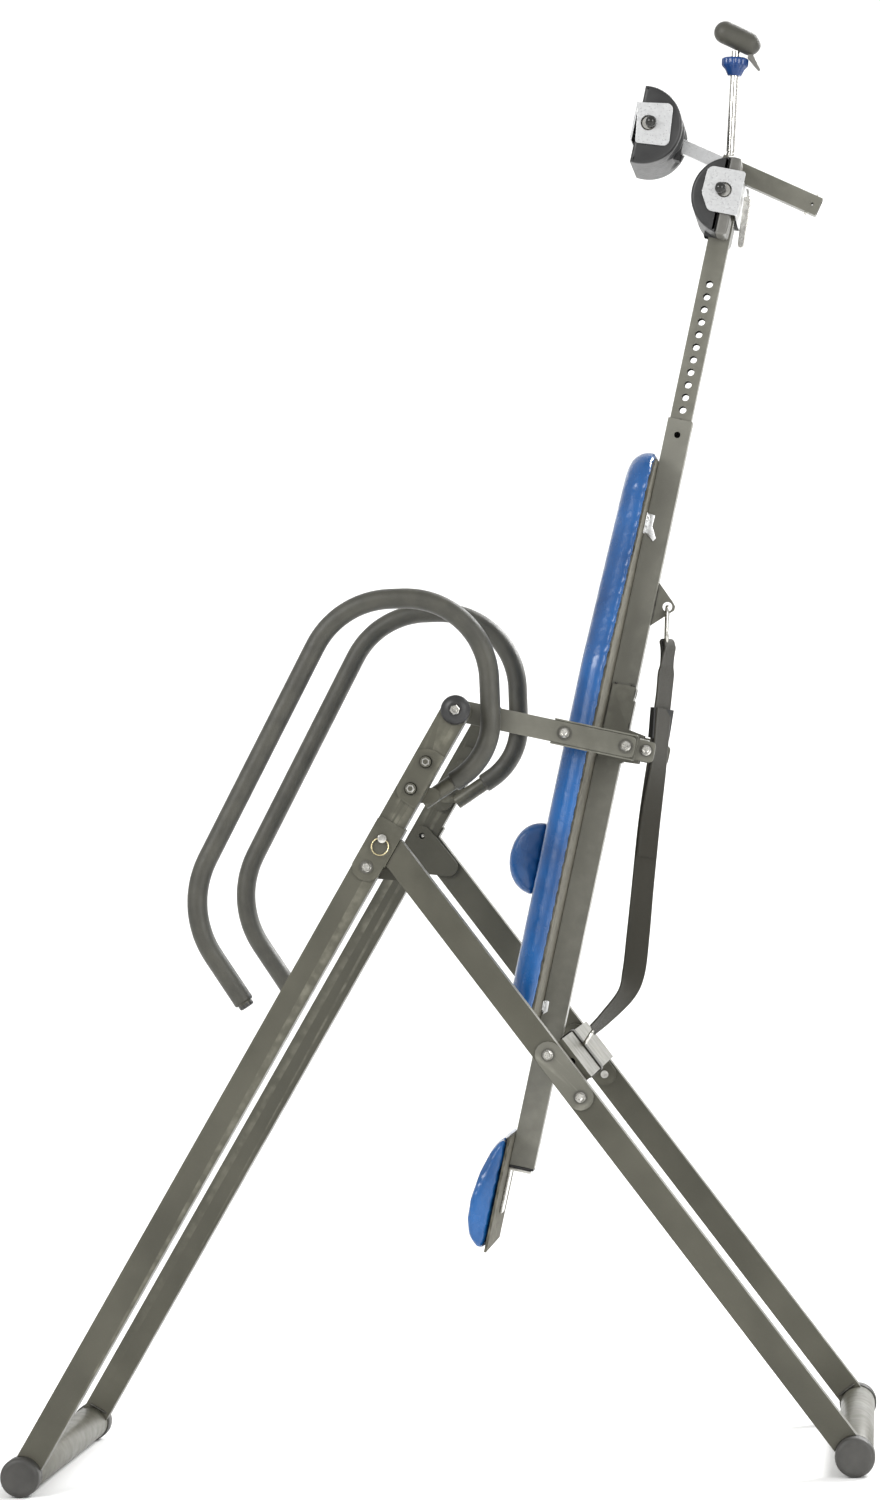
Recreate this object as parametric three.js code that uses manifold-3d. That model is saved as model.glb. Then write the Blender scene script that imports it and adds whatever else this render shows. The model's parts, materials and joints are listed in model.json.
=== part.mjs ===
// Inversion table: a folding A-frame of square tube that carries a tilting bed on two pivots.
// Millimetres, +Z up. X points to the front (the side the user mounts from), Y across the frame.
// The origin is on the floor, midway between the front and rear floor tubes.
// The rest pose is full inversion, with the bed's boom resting on the front cross bar.
import * as THREE from "three";
import { mergeVertices } from "three/addons/utils/BufferGeometryUtils.js";
import Module from "manifold-3d";

const wasm = await Module();
wasm.setup();

// ---- driving dimensions -------------------------------------------------------------------
const GAP = 0.3; // clearance left between touching pieces
const REACH = 583; // from the origin to each floor tube's axis
const FOOT_RADIUS = 28.24; // foot caps, across their facets
const FOOT_HEIGHT = 28; // floor tube axis above the floor
const FLOOR_TUBE_RADIUS = 25.4;
const FRAME_HALF_WIDTH = 302; // outer face of the legs
const LEG_WIDTH = 39; // leg section seen from the side
const LEG_DEPTH = 30; // leg section along Y
const WALL = 2; // tube wall
const PIVOT = [68, 1079]; // bed pivot axis (x, z)
const HINGE = [-65, 865]; // hinge of the front frame on the rear frame
const LOCK = [-40, 903]; // lock pin of that hinge
const BED_LEAN = THREE.MathUtils.degToRad(14.16); // boom's lean from vertical
const BOOM_CENTRE = 206; // boom axis ahead of the pivot, in bed coordinates
const BOOM_SIZE = 36;
const BOOM_TOP = 479;
const BOOM_BOTTOM = -628;
const ADJUST_SIZE = 31; // sliding tube inside the boom
const HOLE_PITCH = 18.6; // height holes in the sliding tube
const PIN_HEIGHT = 456; // height pin along the boom
const CUSHION_HALF_WIDTH = 205;
const CUSHION_FRONT = 150; // cushion's face, in bed coordinates
const BOARD_FRONT = 180.8; // front of the board let into the cushion's back
const BOARD_INSET = 12; // board's edge inside the cushion's
const REAR_CUP_PIN = [198, 808.5]; // ankle cup pins, in bed coordinates
const FRONT_CUP_PIN = [81, 882];
const REAR_CHEEK_HOLE = [203.5, 807.5, 11]; // clear holes in the cheeks, round the pins
const FRONT_CHEEK_HOLE = [77.3, 880.3, 11];
const ARM_INNER = 232; // bed arms, inner face
const ARM_OUTER = 240;
const LEG_INNER = FRAME_HALF_WIDTH - LEG_DEPTH;

// ---- materials ----------------------------------------------------------------------------
const paints = {
  frame: [0x4a4842, 0.45, 0.5],
  bed: [0x57554e, 0.45, 0.5],
  zinc: [0xc9c7c0, 0.3, 0.9],
  silver: [0xc4c6c6, 0.35, 0.8],
  foam: [0x2e2c28, 0.9, 0],
  rubber: [0x2a2927, 0.8, 0],
  moulded: [0x1c1c1d, 0.5, 0],
  vinyl: [0x1746a0, 0.35, 0],
  board: [0x6d665a, 0.8, 0],
  webbing: [0x2a2822, 0.9, 0],
  blue: [0x163d7a, 0.2, 0],
};
const table = new THREE.Group();
const bed = new THREE.Group();
bed.position.set(PIVOT[0], 0, PIVOT[1]);
bed.rotation.y = BED_LEAN;
table.add(bed);

function addPart(parent, name, paint, geometry) {
  const [color, roughness, metalness] = paints[paint];
  const material = new THREE.MeshStandardMaterial({ color, roughness, metalness });
  const mesh = new THREE.Mesh(geometry, material);
  mesh.name = name;
  parent.add(mesh);
  return mesh;
}

// ---- solids -------------------------------------------------------------------------------
function toSolid(geometry) {
  const plain = geometry.index ? geometry.toNonIndexed() : geometry.clone();
  const bare = new THREE.BufferGeometry();
  bare.setAttribute("position", plain.getAttribute("position"));
  const merged = mergeVertices(bare, 1e-3);
  return new wasm.Manifold(
    new wasm.Mesh({
      numProp: 3,
      vertProperties: merged.attributes.position.array,
      triVerts: new Uint32Array(merged.index.array),
    }),
  );
}

// The same geometry with its faces turned to point outwards.
function facingOut(geometry) {
  if (toSolid(geometry).volume() > 0) return geometry;
  const plain = geometry.index ? geometry.toNonIndexed() : geometry;
  const values = Float32Array.from(plain.getAttribute("position").array);
  for (let i = 0; i < values.length; i += 9) {
    for (let k = 0; k < 3; k++) {
      [values[i + 3 + k], values[i + 6 + k]] = [values[i + 6 + k], values[i + 3 + k]];
    }
  }
  const turned = new THREE.BufferGeometry();
  turned.setAttribute("position", new THREE.BufferAttribute(values, 3));
  return turned;
}

function toGeometry(solid) {
  const mesh = solid.getMesh();
  const geometry = new THREE.BufferGeometry();
  geometry.setAttribute("position", new THREE.BufferAttribute(new Float32Array(mesh.vertProperties), 3));
  geometry.setIndex(new THREE.BufferAttribute(new Uint32Array(mesh.triVerts), 1));
  return geometry;
}

function join(...geometries) {
  return toGeometry(geometries.map(toSolid).reduce((a, b) => a.add(b)));
}

function cut(geometry, ...cutters) {
  return toGeometry(cutters.map(toSolid).reduce((a, b) => a.subtract(b), toSolid(geometry)));
}

// A side-view outline (x, z) extruded across Y, from y0 to y1.
function slab(points, y0, y1, holes = []) {
  const shape = new THREE.Shape(points.map(([x, z]) => new THREE.Vector2(x, z)));
  for (const [x, z, radius] of holes) {
    const hole = new THREE.Path();
    hole.absarc(x, z, radius, 0, 2 * Math.PI, true);
    shape.holes.push(hole);
  }
  const options = { depth: y1 - y0, bevelEnabled: false, curveSegments: 10 };
  const geometry = new THREE.ExtrudeGeometry(shape, options);
  geometry.rotateX(Math.PI / 2);
  geometry.translate(0, y1, 0);
  return geometry;
}

// Both sides of the frame are alike: side is -1 for near, 1 for far, and a, b are distances from the middle.
function sideSlab(side, points, a, b, holes = []) {
  const [y0, y1] = [side * a, side * b].sort((p, q) => p - q);
  return slab(points, y0, y1, holes);
}

// The convex outline round a set of circles [x, z, radius].
function outlineRound(circles, steps = 16) {
  const points = [];
  for (const [x, z, radius] of circles) {
    for (let i = 0; i < steps; i++) {
      const angle = (2 * Math.PI * i) / steps;
      points.push([x + radius * Math.cos(angle), z + radius * Math.sin(angle)]);
    }
  }
  points.sort((p, q) => p[0] - q[0] || p[1] - q[1]);
  const turn = (o, a, b) => (a[0] - o[0]) * (b[1] - o[1]) - (a[1] - o[1]) * (b[0] - o[0]);
  const half = (list) => {
    const kept = [];
    for (const p of list) {
      while (kept.length > 1 && turn(kept[kept.length - 2], kept[kept.length - 1], p) <= 1e-6) kept.pop();
      kept.push(p);
    }
    kept.pop();
    return kept;
  };
  return [...half(points), ...half([...points].reverse())];
}

function along(from, to, distance) {
  const length = Math.hypot(to[0] - from[0], to[1] - from[1]);
  return [
    from[0] + ((to[0] - from[0]) * distance) / length,
    from[1] + ((to[1] - from[1]) * distance) / length,
  ];
}

// The four corners of a straight bar seen from the side.
function barOutline(from, to, width) {
  const length = Math.hypot(to[0] - from[0], to[1] - from[1]);
  const nx = (-(to[1] - from[1]) / length) * (width / 2);
  const nz = ((to[0] - from[0]) / length) * (width / 2);
  return [
    [from[0] - nx, from[1] - nz],
    [to[0] - nx, to[1] - nz],
    [to[0] + nx, to[1] + nz],
    [from[0] + nx, from[1] + nz],
  ];
}

// A rectangular tube between two points of the side view, open at both ends.
function boxTube(from, to, width, y0, y1, wall = WALL) {
  const before = along(from, to, -5);
  const after = along(to, from, -5);
  return cut(
    slab(barOutline(from, to, width), y0, y1),
    slab(barOutline(before, after, width - 2 * wall), y0 + wall, y1 - wall),
  );
}

// A round rod along Y through (x, z).
function crossRod(x, z, radius, y0, y1, sides = 20) {
  const geometry = new THREE.CylinderGeometry(radius, radius, y1 - y0, sides, 1);
  geometry.rotateY(Math.PI / sides);
  geometry.translate(x, (y0 + y1) / 2, z);
  return geometry;
}

// A turned piece on an axis along Y: profile is [distance from the middle, radius], closed on the axis.
function turnedAcross(side, x, z, profile, sides = 20) {
  const points = profile.map(([y, radius]) => new THREE.Vector2(radius, side * y));
  const geometry = new THREE.LatheGeometry(points, sides);
  geometry.rotateY(Math.PI / sides);
  geometry.translate(x, 0, z);
  return facingOut(geometry);
}

function box(x0, x1, y0, y1, z0, z1) {
  const geometry = new THREE.BoxGeometry(x1 - x0, y1 - y0, z1 - z0);
  geometry.translate((x0 + x1) / 2, (y0 + y1) / 2, (z0 + z1) / 2);
  return geometry;
}

// A path in the side view through corners [x, z, bend radius], as a list of points.
function bentPath(corners, stepDegrees = 15) {
  const path = [corners[0].slice(0, 2)];
  for (let i = 1; i < corners.length - 1; i++) {
    const [x, z, radius] = corners[i];
    const a = new THREE.Vector2(corners[i - 1][0] - x, corners[i - 1][1] - z).normalize();
    const b = new THREE.Vector2(corners[i + 1][0] - x, corners[i + 1][1] - z).normalize();
    const half = Math.acos(THREE.MathUtils.clamp(a.dot(b), -1, 1)) / 2;
    const reach = radius / Math.tan(half);
    const start = a.clone().multiplyScalar(reach);
    const end = b.clone().multiplyScalar(reach);
    const centre = a.clone().add(b).normalize().multiplyScalar(radius / Math.sin(half));
    const first = start.clone().sub(centre).angle();
    let sweep = end.clone().sub(centre).angle() - first;
    sweep = THREE.MathUtils.euclideanModulo(sweep + Math.PI, 2 * Math.PI) - Math.PI;
    const steps = Math.max(2, Math.ceil(Math.abs(THREE.MathUtils.radToDeg(sweep)) / stepDegrees));
    for (let s = 0; s <= steps; s++) {
      const angle = first + (sweep * s) / steps;
      path.push([x + centre.x + radius * Math.cos(angle), z + centre.y + radius * Math.sin(angle)]);
    }
  }
  path.push(corners[corners.length - 1].slice(0, 2));
  return path;
}

// A solid swept through sections, each a ring of points [x, y, z] in the same order.
function loft(rings) {
  const count = rings[0].length;
  const positions = [];
  const push = (...list) => list.forEach((p) => positions.push(...p));
  for (let r = 0; r < rings.length - 1; r++) {
    for (let i = 0; i < count; i++) {
      const j = (i + 1) % count;
      push(rings[r][i], rings[r + 1][i], rings[r][j]);
      push(rings[r][j], rings[r + 1][i], rings[r + 1][j]);
    }
  }
  const last = rings[rings.length - 1];
  for (let i = 1; i < count - 1; i++) {
    push(rings[0][0], rings[0][i], rings[0][i + 1]);
    push(last[0], last[i + 1], last[i]);
  }
  const geometry = new THREE.BufferGeometry();
  geometry.setAttribute("position", new THREE.Float32BufferAttribute(positions, 3));
  return facingOut(geometry);
}

// A round bar that follows a side-view path at a fixed y.
function bentBar(path, y, radius, sides = 12) {
  const rings = path.map(([x, z], i) => {
    const before = path[Math.max(i - 1, 0)];
    const after = path[Math.min(i + 1, path.length - 1)];
    const direction = new THREE.Vector2(after[0] - before[0], after[1] - before[1]).normalize();
    const normal = [-direction.y, direction.x];
    return Array.from({ length: sides }, (_, k) => {
      const angle = (2 * Math.PI * k) / sides;
      const lift = radius * Math.cos(angle);
      return [x + normal[0] * lift, y + radius * Math.sin(angle), z + normal[1] * lift];
    });
  });
  return loft(rings);
}

// ---- rear frame ---------------------------------------------------------------------------
const REAR_FOOT = [-REACH, FOOT_HEIGHT];
const FRONT_FOOT = [REACH, FOOT_HEIGHT];
const rearUp = (distance, aside = 0) => {
  const [x, z] = along(REAR_FOOT, PIVOT, distance);
  const length = Math.hypot(PIVOT[0] - REAR_FOOT[0], PIVOT[1] - REAR_FOOT[1]);
  const ux = (PIVOT[0] - REAR_FOOT[0]) / length;
  const uz = (PIVOT[1] - REAR_FOOT[1]) / length;
  return [x + uz * aside, z - ux * aside];
};
const REAR_LENGTH = Math.hypot(PIVOT[0] - REAR_FOOT[0], PIVOT[1] - REAR_FOOT[1]);
const HINGE_AT = Math.hypot(HINGE[0] - REAR_FOOT[0], HINGE[1] - REAR_FOOT[1]);
const LOCK_AT = Math.hypot(LOCK[0] - REAR_FOOT[0], LOCK[1] - REAR_FOOT[1]);
const HINGE_POINT = rearUp(HINGE_AT);
const LOCK_POINT = rearUp(LOCK_AT);
const CLAMP_BOLTS = [rearUp(1153), rearUp(1110)];
const BOLT = 5; // bolt radius
const BOLT_HOLE = BOLT + GAP;
const PIN = 4.5; // lock pin radius

const floorTube = (foot) =>
  cut(
    crossRod(foot[0], foot[1], FLOOR_TUBE_RADIUS, -306, 306, 28),
    crossRod(foot[0], foot[1], FLOOR_TUBE_RADIUS - WALL, -310, 310, 28),
  );

// A cup over the end of a floor tube, with one facet flat on the floor.
function footCap(side, foot) {
  const inner = FLOOR_TUBE_RADIUS + GAP;
  return turnedAcross(
    side,
    foot[0],
    foot[1],
    [
      [288, inner],
      [288, 27],
      [290, FOOT_RADIUS],
      [318, FOOT_RADIUS],
      [322, 24],
      [323, 0],
      [306.5, 0],
      [306.5, inner],
      [288, inner],
    ],
    24,
  );
}

// What a leg gives way to at its foot: the floor tube and the caps on its ends.
const floorSaddle = (foot) => [
  crossRod(...foot, FLOOR_TUBE_RADIUS + GAP, -400, 400, 28),
  crossRod(...foot, FOOT_RADIUS + GAP, 288 - GAP, 400, 28),
  crossRod(...foot, FOOT_RADIUS + GAP, -400, -288 + GAP, 28),
];

// The leg is round at the pivot and saddled on to its floor tube.
function rearLeg(side) {
  const outside = outlineRound([[...rearUp(REAR_LENGTH), LEG_WIDTH / 2]], 24);
  const straight = barOutline(rearUp(0), rearUp(REAR_LENGTH), LEG_WIDTH);
  const whole = join(
    sideSlab(side, straight, LEG_INNER, FRAME_HALF_WIDTH),
    sideSlab(side, outside, LEG_INNER, FRAME_HALF_WIDTH),
  );
  const hollow = barOutline(rearUp(-5), rearUp(REAR_LENGTH + 2), LEG_WIDTH - 2 * WALL);
  const drills = [
    [...PIVOT, 8 + GAP],
    [...HINGE_POINT, BOLT_HOLE],
    [...LOCK_POINT, PIN + GAP],
    ...CLAMP_BOLTS.map((p) => [...p, BOLT_HOLE]),
  ].map(([x, z, r]) => crossRod(x, z, r, -400, 400, 16));
  return cut(
    whole,
    sideSlab(side, hollow, LEG_INNER + WALL, FRAME_HALF_WIDTH - WALL),
    ...floorSaddle(REAR_FOOT),
    ...drills,
  );
}

// A bolt along Y with a washer and a hexagon head outside and a nut inside.
function boltProfile(inner, outer, shaft = BOLT) {
  return [
    [inner - 7, 0],
    [inner - 7, 7.5],
    [inner - GAP, 7.5],
    [inner - GAP, shaft],
    [outer + GAP, shaft],
    [outer + GAP, 9.5],
    [outer + 2, 9.5],
    [outer + 2, 7.8],
    [outer + 7, 7.8],
    [outer + 7, 0],
  ];
}

// The handlebar leaves a flat foot behind the leg, loops over the pivot and comes down behind it.
const HANDLE_Y = 257;
const HANDLE_CORNERS = [
  [14, 952, 0],
  [113, 1014, 95],
  [113, 1239.5, 118],
  [-96, 1239.5, 122],
  [-333, 814.5, 135],
  [-246, 674.5, 0],
];
const handlePath = bentPath(HANDLE_CORNERS, 12);
const GRIP_START = 50; // bare tube before the foam
const GRIP_END = 6; // bare tube after the foam

// The part of a path between two distances from its ends.
function trimmed(path, fromStart, fromEnd) {
  const kept = path.slice(1, -1);
  const last = path.length - 1;
  return [along(path[0], path[1], fromStart), ...kept, along(path[last], path[last - 1], fromEnd)];
}

function handlebar(side) {
  const foot = outlineRound([
    [...rearUp(1092), 16],
    [...rearUp(1166), 16],
  ]);
  return cut(
    join(
      bentBar(handlePath, side * HANDLE_Y, 11),
      sideSlab(side, foot, 262, LEG_INNER - GAP),
      sideSlab(side, outlineRound([[...rearUp(1100), 11], [28, 961, 11]]), 260, LEG_INNER - GAP),
    ),
    ...CLAMP_BOLTS.map(([x, z]) => crossRod(x, z, BOLT_HOLE, -400, 400, 16)),
  );
}

function handGrip(side) {
  const path = trimmed(handlePath, GRIP_START, GRIP_END);
  const longer = trimmed(handlePath, GRIP_START - 4, GRIP_END - 4);
  return cut(bentBar(path, side * HANDLE_Y, 14.3, 14), bentBar(longer, side * HANDLE_Y, 11 + GAP));
}

// The doubler plate that clamps the handlebar's foot, with its two bolts.
function clampPlate(side) {
  const plate = sideSlab(
    side,
    [
      rearUp(1088, 19),
      rearUp(1171, 19),
      rearUp(1173, 6),
      rearUp(1170, -8),
      rearUp(1162, -17),
      rearUp(1150, -19),
      rearUp(1106, -19),
      rearUp(1096, -15),
      rearUp(1091, -8),
      rearUp(1089, 2),
    ],
    FRAME_HALF_WIDTH + GAP,
    FRAME_HALF_WIDTH + 3.3,
  );
  const bolts = CLAMP_BOLTS.map(([x, z]) =>
    turnedAcross(side, x, z, [
      [253, 0],
      [253, 7.5],
      [260 - GAP, 7.5],
      [260 - GAP, BOLT],
      [FRAME_HALF_WIDTH + 1, BOLT],
      [FRAME_HALF_WIDTH + 3, 9.5],
      [FRAME_HALF_WIDTH + 5, 9.5],
      [FRAME_HALF_WIDTH + 5, 7.8],
      [FRAME_HALF_WIDTH + 9.5, 7.8],
      [FRAME_HALF_WIDTH + 10, 5.5],
      [FRAME_HALF_WIDTH + 10, 0],
    ], 12),
  );
  return join(plate, ...bolts);
}

// A folded sheet on the leg's outer face, with a lip down the leg's front face.
function hingeBracket(side) {
  const top = LOCK_AT + 26;
  const face = sideSlab(
    side,
    [rearUp(top - 4, -20), rearUp(HINGE_AT - 6, -20), rearUp(HINGE_AT - 16, -13), rearUp(HINGE_AT - 20, 0),
      rearUp(HINGE_AT - 16, 13), rearUp(HINGE_AT - 6, 20.6), rearUp(top, 22.3), rearUp(top + 1, -14)],
    FRAME_HALF_WIDTH + GAP,
    FRAME_HALF_WIDTH + 3.3,
  );
  const lip = sideSlab(
    side,
    [rearUp(HINGE_AT + 12, 19.8), rearUp(HINGE_AT + 12, 22.3), rearUp(top, 22.3), rearUp(top, 19.8)],
    LEG_INNER + 2,
    FRAME_HALF_WIDTH + 3.3,
  );
  return cut(
    join(face, lip),
    crossRod(...HINGE_POINT, BOLT_HOLE, -400, 400, 16),
    crossRod(...LOCK_POINT, PIN + GAP, -400, 400, 16),
  );
}

// A pull pin along Y with a split ring through its head.
function lockPin(side) {
  const head = FRAME_HALF_WIDTH + 3.6;
  const pin = turnedAcross(side, ...LOCK_POINT, [
    [LEG_INNER + 1, 0],
    [LEG_INNER + 1, PIN],
    [head, PIN],
    [head, 6.5],
    [head + 5, 6.5],
    [head + 6, 4],
    [head + 6, 0],
  ], 12);
  const ring = new THREE.TorusGeometry(12, 1.3, 8, 24);
  ring.rotateX(Math.PI / 2 + side * 0.15);
  ring.translate(LOCK_POINT[0] - 3.5, side * (head + 3.4), LOCK_POINT[1] - 11);
  return join(pin, ring);
}

// ---- front frame --------------------------------------------------------------------------
const FRONT_TOP = LOCK_POINT;
const FRONT_LENGTH = Math.hypot(FRONT_TOP[0] - FRONT_FOOT[0], FRONT_TOP[1] - FRONT_FOOT[1]);
const frontUp = (distance, aside = 0) => {
  const [x, z] = along(FRONT_FOOT, FRONT_TOP, distance);
  const ux = (FRONT_TOP[0] - FRONT_FOOT[0]) / FRONT_LENGTH;
  const uz = (FRONT_TOP[1] - FRONT_FOOT[1]) / FRONT_LENGTH;
  return [x + uz * aside, z - ux * aside];
};
const SPLICE_BOLTS = [frontUp(696), frontUp(622)];
const EAR_INNER = 265;
const BAR_LENGTH = 67; // cross bar section, along the leg
const BAR_DEPTH = 20;
const barAt = (distance) => frontUp(668.5 + distance, 16.5);

function frontLeg(side) {
  const tube = cut(
    sideSlab(side, barOutline(frontUp(0), frontUp(FRONT_LENGTH), 38), LEG_INNER, FRAME_HALF_WIDTH),
    sideSlab(
      side,
      barOutline(frontUp(-5), frontUp(FRONT_LENGTH + 5), 38 - 2 * WALL),
      LEG_INNER + WALL,
      FRAME_HALF_WIDTH - WALL,
    ),
    sideSlab(side, [rearUp(700, 23), rearUp(1236, 23), rearUp(1236, -90), rearUp(700, -90)], 200, 400),
  );
  const ear = sideSlab(
    side,
    outlineRound([
      [...HINGE_POINT, 16],
      [...LOCK_POINT, 15],
      [...frontUp(FRONT_LENGTH - 62, 3), 14],
    ]),
    EAR_INNER,
    LEG_INNER - GAP,
  );
  const weld = sideSlab(
    side,
    outlineRound([[...frontUp(FRONT_LENGTH - 45, 5), 9], [...frontUp(FRONT_LENGTH - 62, 3), 9]]),
    EAR_INNER + 2,
    LEG_INNER + 1,
  );
  return cut(
    join(tube, ear, weld),
    ...floorSaddle(FRONT_FOOT),
    crossRod(...HINGE_POINT, BOLT_HOLE, -400, 400, 16),
    crossRod(...LOCK_POINT, PIN + GAP, -400, 400, 16),
    ...SPLICE_BOLTS.map(([x, z]) => crossRod(x, z, BOLT_HOLE, -400, 400, 16)),
  );
}

// The cross bar is a flat box with an ear at each end, bolted inside the legs.
function crossBar() {
  const [from, to] = [barAt(-BAR_LENGTH / 2), barAt(BAR_LENGTH / 2)];
  const bar = slab(barOutline(from, to, BAR_DEPTH), -268, 268);
  const bore = slab(barOutline(along(from, to, 2.5), along(to, from, 2.5), BAR_DEPTH - 5), -264, 264);
  const vents = [-1, 1].map((side) => sideSlab(side, outlineRound([[...barAt(0), 6]]), 255, 280));
  const ears = [-1, 1].map((side) =>
    sideSlab(side, outlineRound(SPLICE_BOLTS.map((p) => [...p, 17])), 264.5, LEG_INNER - GAP),
  );
  return cut(
    join(bar, ...ears),
    bore,
    ...vents,
    ...SPLICE_BOLTS.map(([x, z]) => crossRod(x, z, BOLT_HOLE, -400, 400, 16)),
  );
}

// Two bolts through the splice, tied by one nut strip inside.
function spliceBolts(side) {
  const bolts = SPLICE_BOLTS.map(([x, z]) =>
    turnedAcross(side, x, z, [
      [262, 0],
      [262, BOLT],
      [FRAME_HALF_WIDTH + 3.3 + GAP, BOLT],
      [FRAME_HALF_WIDTH + 3.3 + GAP, 9.5],
      [FRAME_HALF_WIDTH + 5.3, 9.5],
      [FRAME_HALF_WIDTH + 5.3, 7.8],
      [FRAME_HALF_WIDTH + 9.8, 7.8],
      [FRAME_HALF_WIDTH + 10.3, 5.5],
      [FRAME_HALF_WIDTH + 10.3, 0],
    ], 12),
  );
  const strip = sideSlab(side, outlineRound(SPLICE_BOLTS.map((p) => [...p, 6])), 260.5, 264.5 - GAP);
  return join(strip, ...bolts);
}

// ---- bed, in coordinates along the boom -----------------------------------------------------
// x runs from the pivot towards the boom, z along the boom towards the feet.
const BACK = BOOM_CENTRE + BOOM_SIZE / 2; // boom's back face
const FRONT = BOOM_CENTRE - BOOM_SIZE / 2; // boom's cushion face

function arm(side) {
  return cut(
    sideSlab(side, outlineRound([[0, 0, 15.5], [245, 8.3, 7], [245, -8.7, 7]]), ARM_INNER, ARM_OUTER),
    crossRod(0, 0, 8 + GAP, -400, 400, 16),
    ...[151, 239].map((x) => crossRod(x, 0, BOLT_HOLE, -400, 400, 16)),
  );
}

// A channel behind the arm, its lips outside the arm's edges.
function armChannel(side) {
  const web = sideSlab(side, [[134, -18.5], [254, -18.5], [254, 18.2], [134, 18.2]], 228.5, ARM_INNER - GAP);
  const lips = [[15.9, 18.2], [-18.5, -16]].map(([z0, z1]) =>
    sideSlab(side, [[134, z0], [252, z0], [252, z1], [134, z1]], 228.5, ARM_OUTER + 1),
  );
  return cut(join(web, ...lips), ...[151, 239].map((x) => crossRod(x, 0, BOLT_HOLE, -400, 400, 16)));
}

const SADDLE_PLATE = [
  [FRONT + 2, -26],
  [250, -22],
  [250, 20],
  [225, 24],
  [224, 88],
  [FRONT + 2, 85],
];

// The beam behind the boom, its end plates and the saddle that holds the boom.
function crossBeam() {
  const beam = box(BACK + GAP, 256, -224, 224, -15, 15);
  const bore = box(BACK + 3, 253.5, -221, 221, -12.5, 12.5);
  const vent = box(250, 260, 60, 90, -6, 6);
  const plates = [-1, 1].map((side) =>
    sideSlab(side, outlineRound([[222, 9, 5], [222, -11, 5], [274, 7, 6], [274, -10, 6]]), 223, 228.2),
  );
  const saddle = [-1, 1].map((side) =>
    sideSlab(side, SADDLE_PLATE, 18.3, 21.5),
  );
  const saddleBack = box(BACK + GAP, BACK + 3, -20, 20, -26, 66);
  return cut(
    join(cut(beam, bore, vent), ...plates, ...saddle, saddleBack),
    ...[239, 266].map((x) => crossRod(x, 0, BOLT_HOLE, 221.5, 400, 16)),
    ...[239, 266].map((x) => crossRod(x, 0, BOLT_HOLE, -400, -221.5, 16)),
  );
}

function boomTube() {
  const outer = box(FRONT, BACK, -BOOM_SIZE / 2, BOOM_SIZE / 2, BOOM_BOTTOM, BOOM_TOP);
  const bore = box(FRONT + WALL, BACK - WALL, -16, 16, BOOM_BOTTOM - 5, BOOM_TOP + 5);
  return cut(outer, bore, crossRod(BOOM_CENTRE, PIN_HEIGHT, 4.6, -30, 30, 16));
}

function adjustTube() {
  const half = ADJUST_SIZE / 2;
  const inner = half - WALL;
  const outer = box(BOOM_CENTRE - half, BOOM_CENTRE + half, -half, half, 180, 832);
  const bore = box(BOOM_CENTRE - inner, BOOM_CENTRE + inner, -inner, inner, 175, 840);
  const holes = [crossRod(...REAR_CUP_PIN, 5 + GAP, -30, 30, 12)];
  for (let step = -10; step <= 12; step++) {
    holes.push(crossRod(BOOM_CENTRE, PIN_HEIGHT + step * HOLE_PITCH, 5.4, -30, 30, 12));
  }
  return cut(outer, bore, ...holes);
}

// An outline in the bed's face (y, z) extruded from x0 to x1.
function facePanel(points, x0, x1) {
  const shape = new THREE.Shape(points.map(([y, z]) => new THREE.Vector2(y, z)));
  const geometry = new THREE.ExtrudeGeometry(shape, { depth: x1 - x0, bevelEnabled: false });
  geometry.rotateX(Math.PI / 2);
  geometry.rotateZ(Math.PI / 2);
  geometry.translate(x0, 0, 0);
  return geometry;
}

// The bed's outline: wide at the head, narrowing towards the feet, inset all round.
function bedOutline(inset) {
  const wide = CUSHION_HALF_WIDTH;
  return outlineRound(
    [
      [wide - 55, -440 + 55, 55 - inset],
      [-wide + 55, -440 + 55, 55 - inset],
      [wide - 70, 100, 70 - inset],
      [-wide + 70, 100, 70 - inset],
      [45, 426 - 70, 70 - inset],
      [-45, 426 - 70, 70 - inset],
    ],
    24,
  );
}

// A half-round bolster across the bed.
function lumbarPad() {
  const points = [];
  for (let i = 0; i <= 12; i++) {
    const angle = Math.PI / 2 + (Math.PI * i) / 12;
    points.push([147 + 46 * Math.cos(angle), -184 + 58 * Math.sin(angle)]);
  }
  return slab(points, -120, 120);
}

function headPillow() {
  return slab(
    [
      [183.5, -578],
      [183.5, -752],
      [172, -752],
      [158, -735],
      [151, -712],
      [149.5, -680],
      [155, -640],
      [165, -605],
      [176, -578],
    ],
    -130,
    130,
  );
}

// ---- foot end ------------------------------------------------------------------------------
const CARRIER_SLOPE = THREE.MathUtils.degToRad(-12.7);
const CARRIER_AT = [212, 848.5];
const onCarrier = (distance, aside = 0) => [
  CARRIER_AT[0] + distance * Math.cos(CARRIER_SLOPE) - aside * Math.sin(CARRIER_SLOPE),
  CARRIER_AT[1] + distance * Math.sin(CARRIER_SLOPE) + aside * Math.cos(CARRIER_SLOPE),
];
const CUP_HALF_WIDTH = 95;

function carrierTube() {
  return cut(
    boxTube(onCarrier(-28), onCarrier(129), 27, -13.5, 13.5, 3),
    crossRod(...onCarrier(118, 0), 2.2, -30, 30, 12),
  );
}

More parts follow.
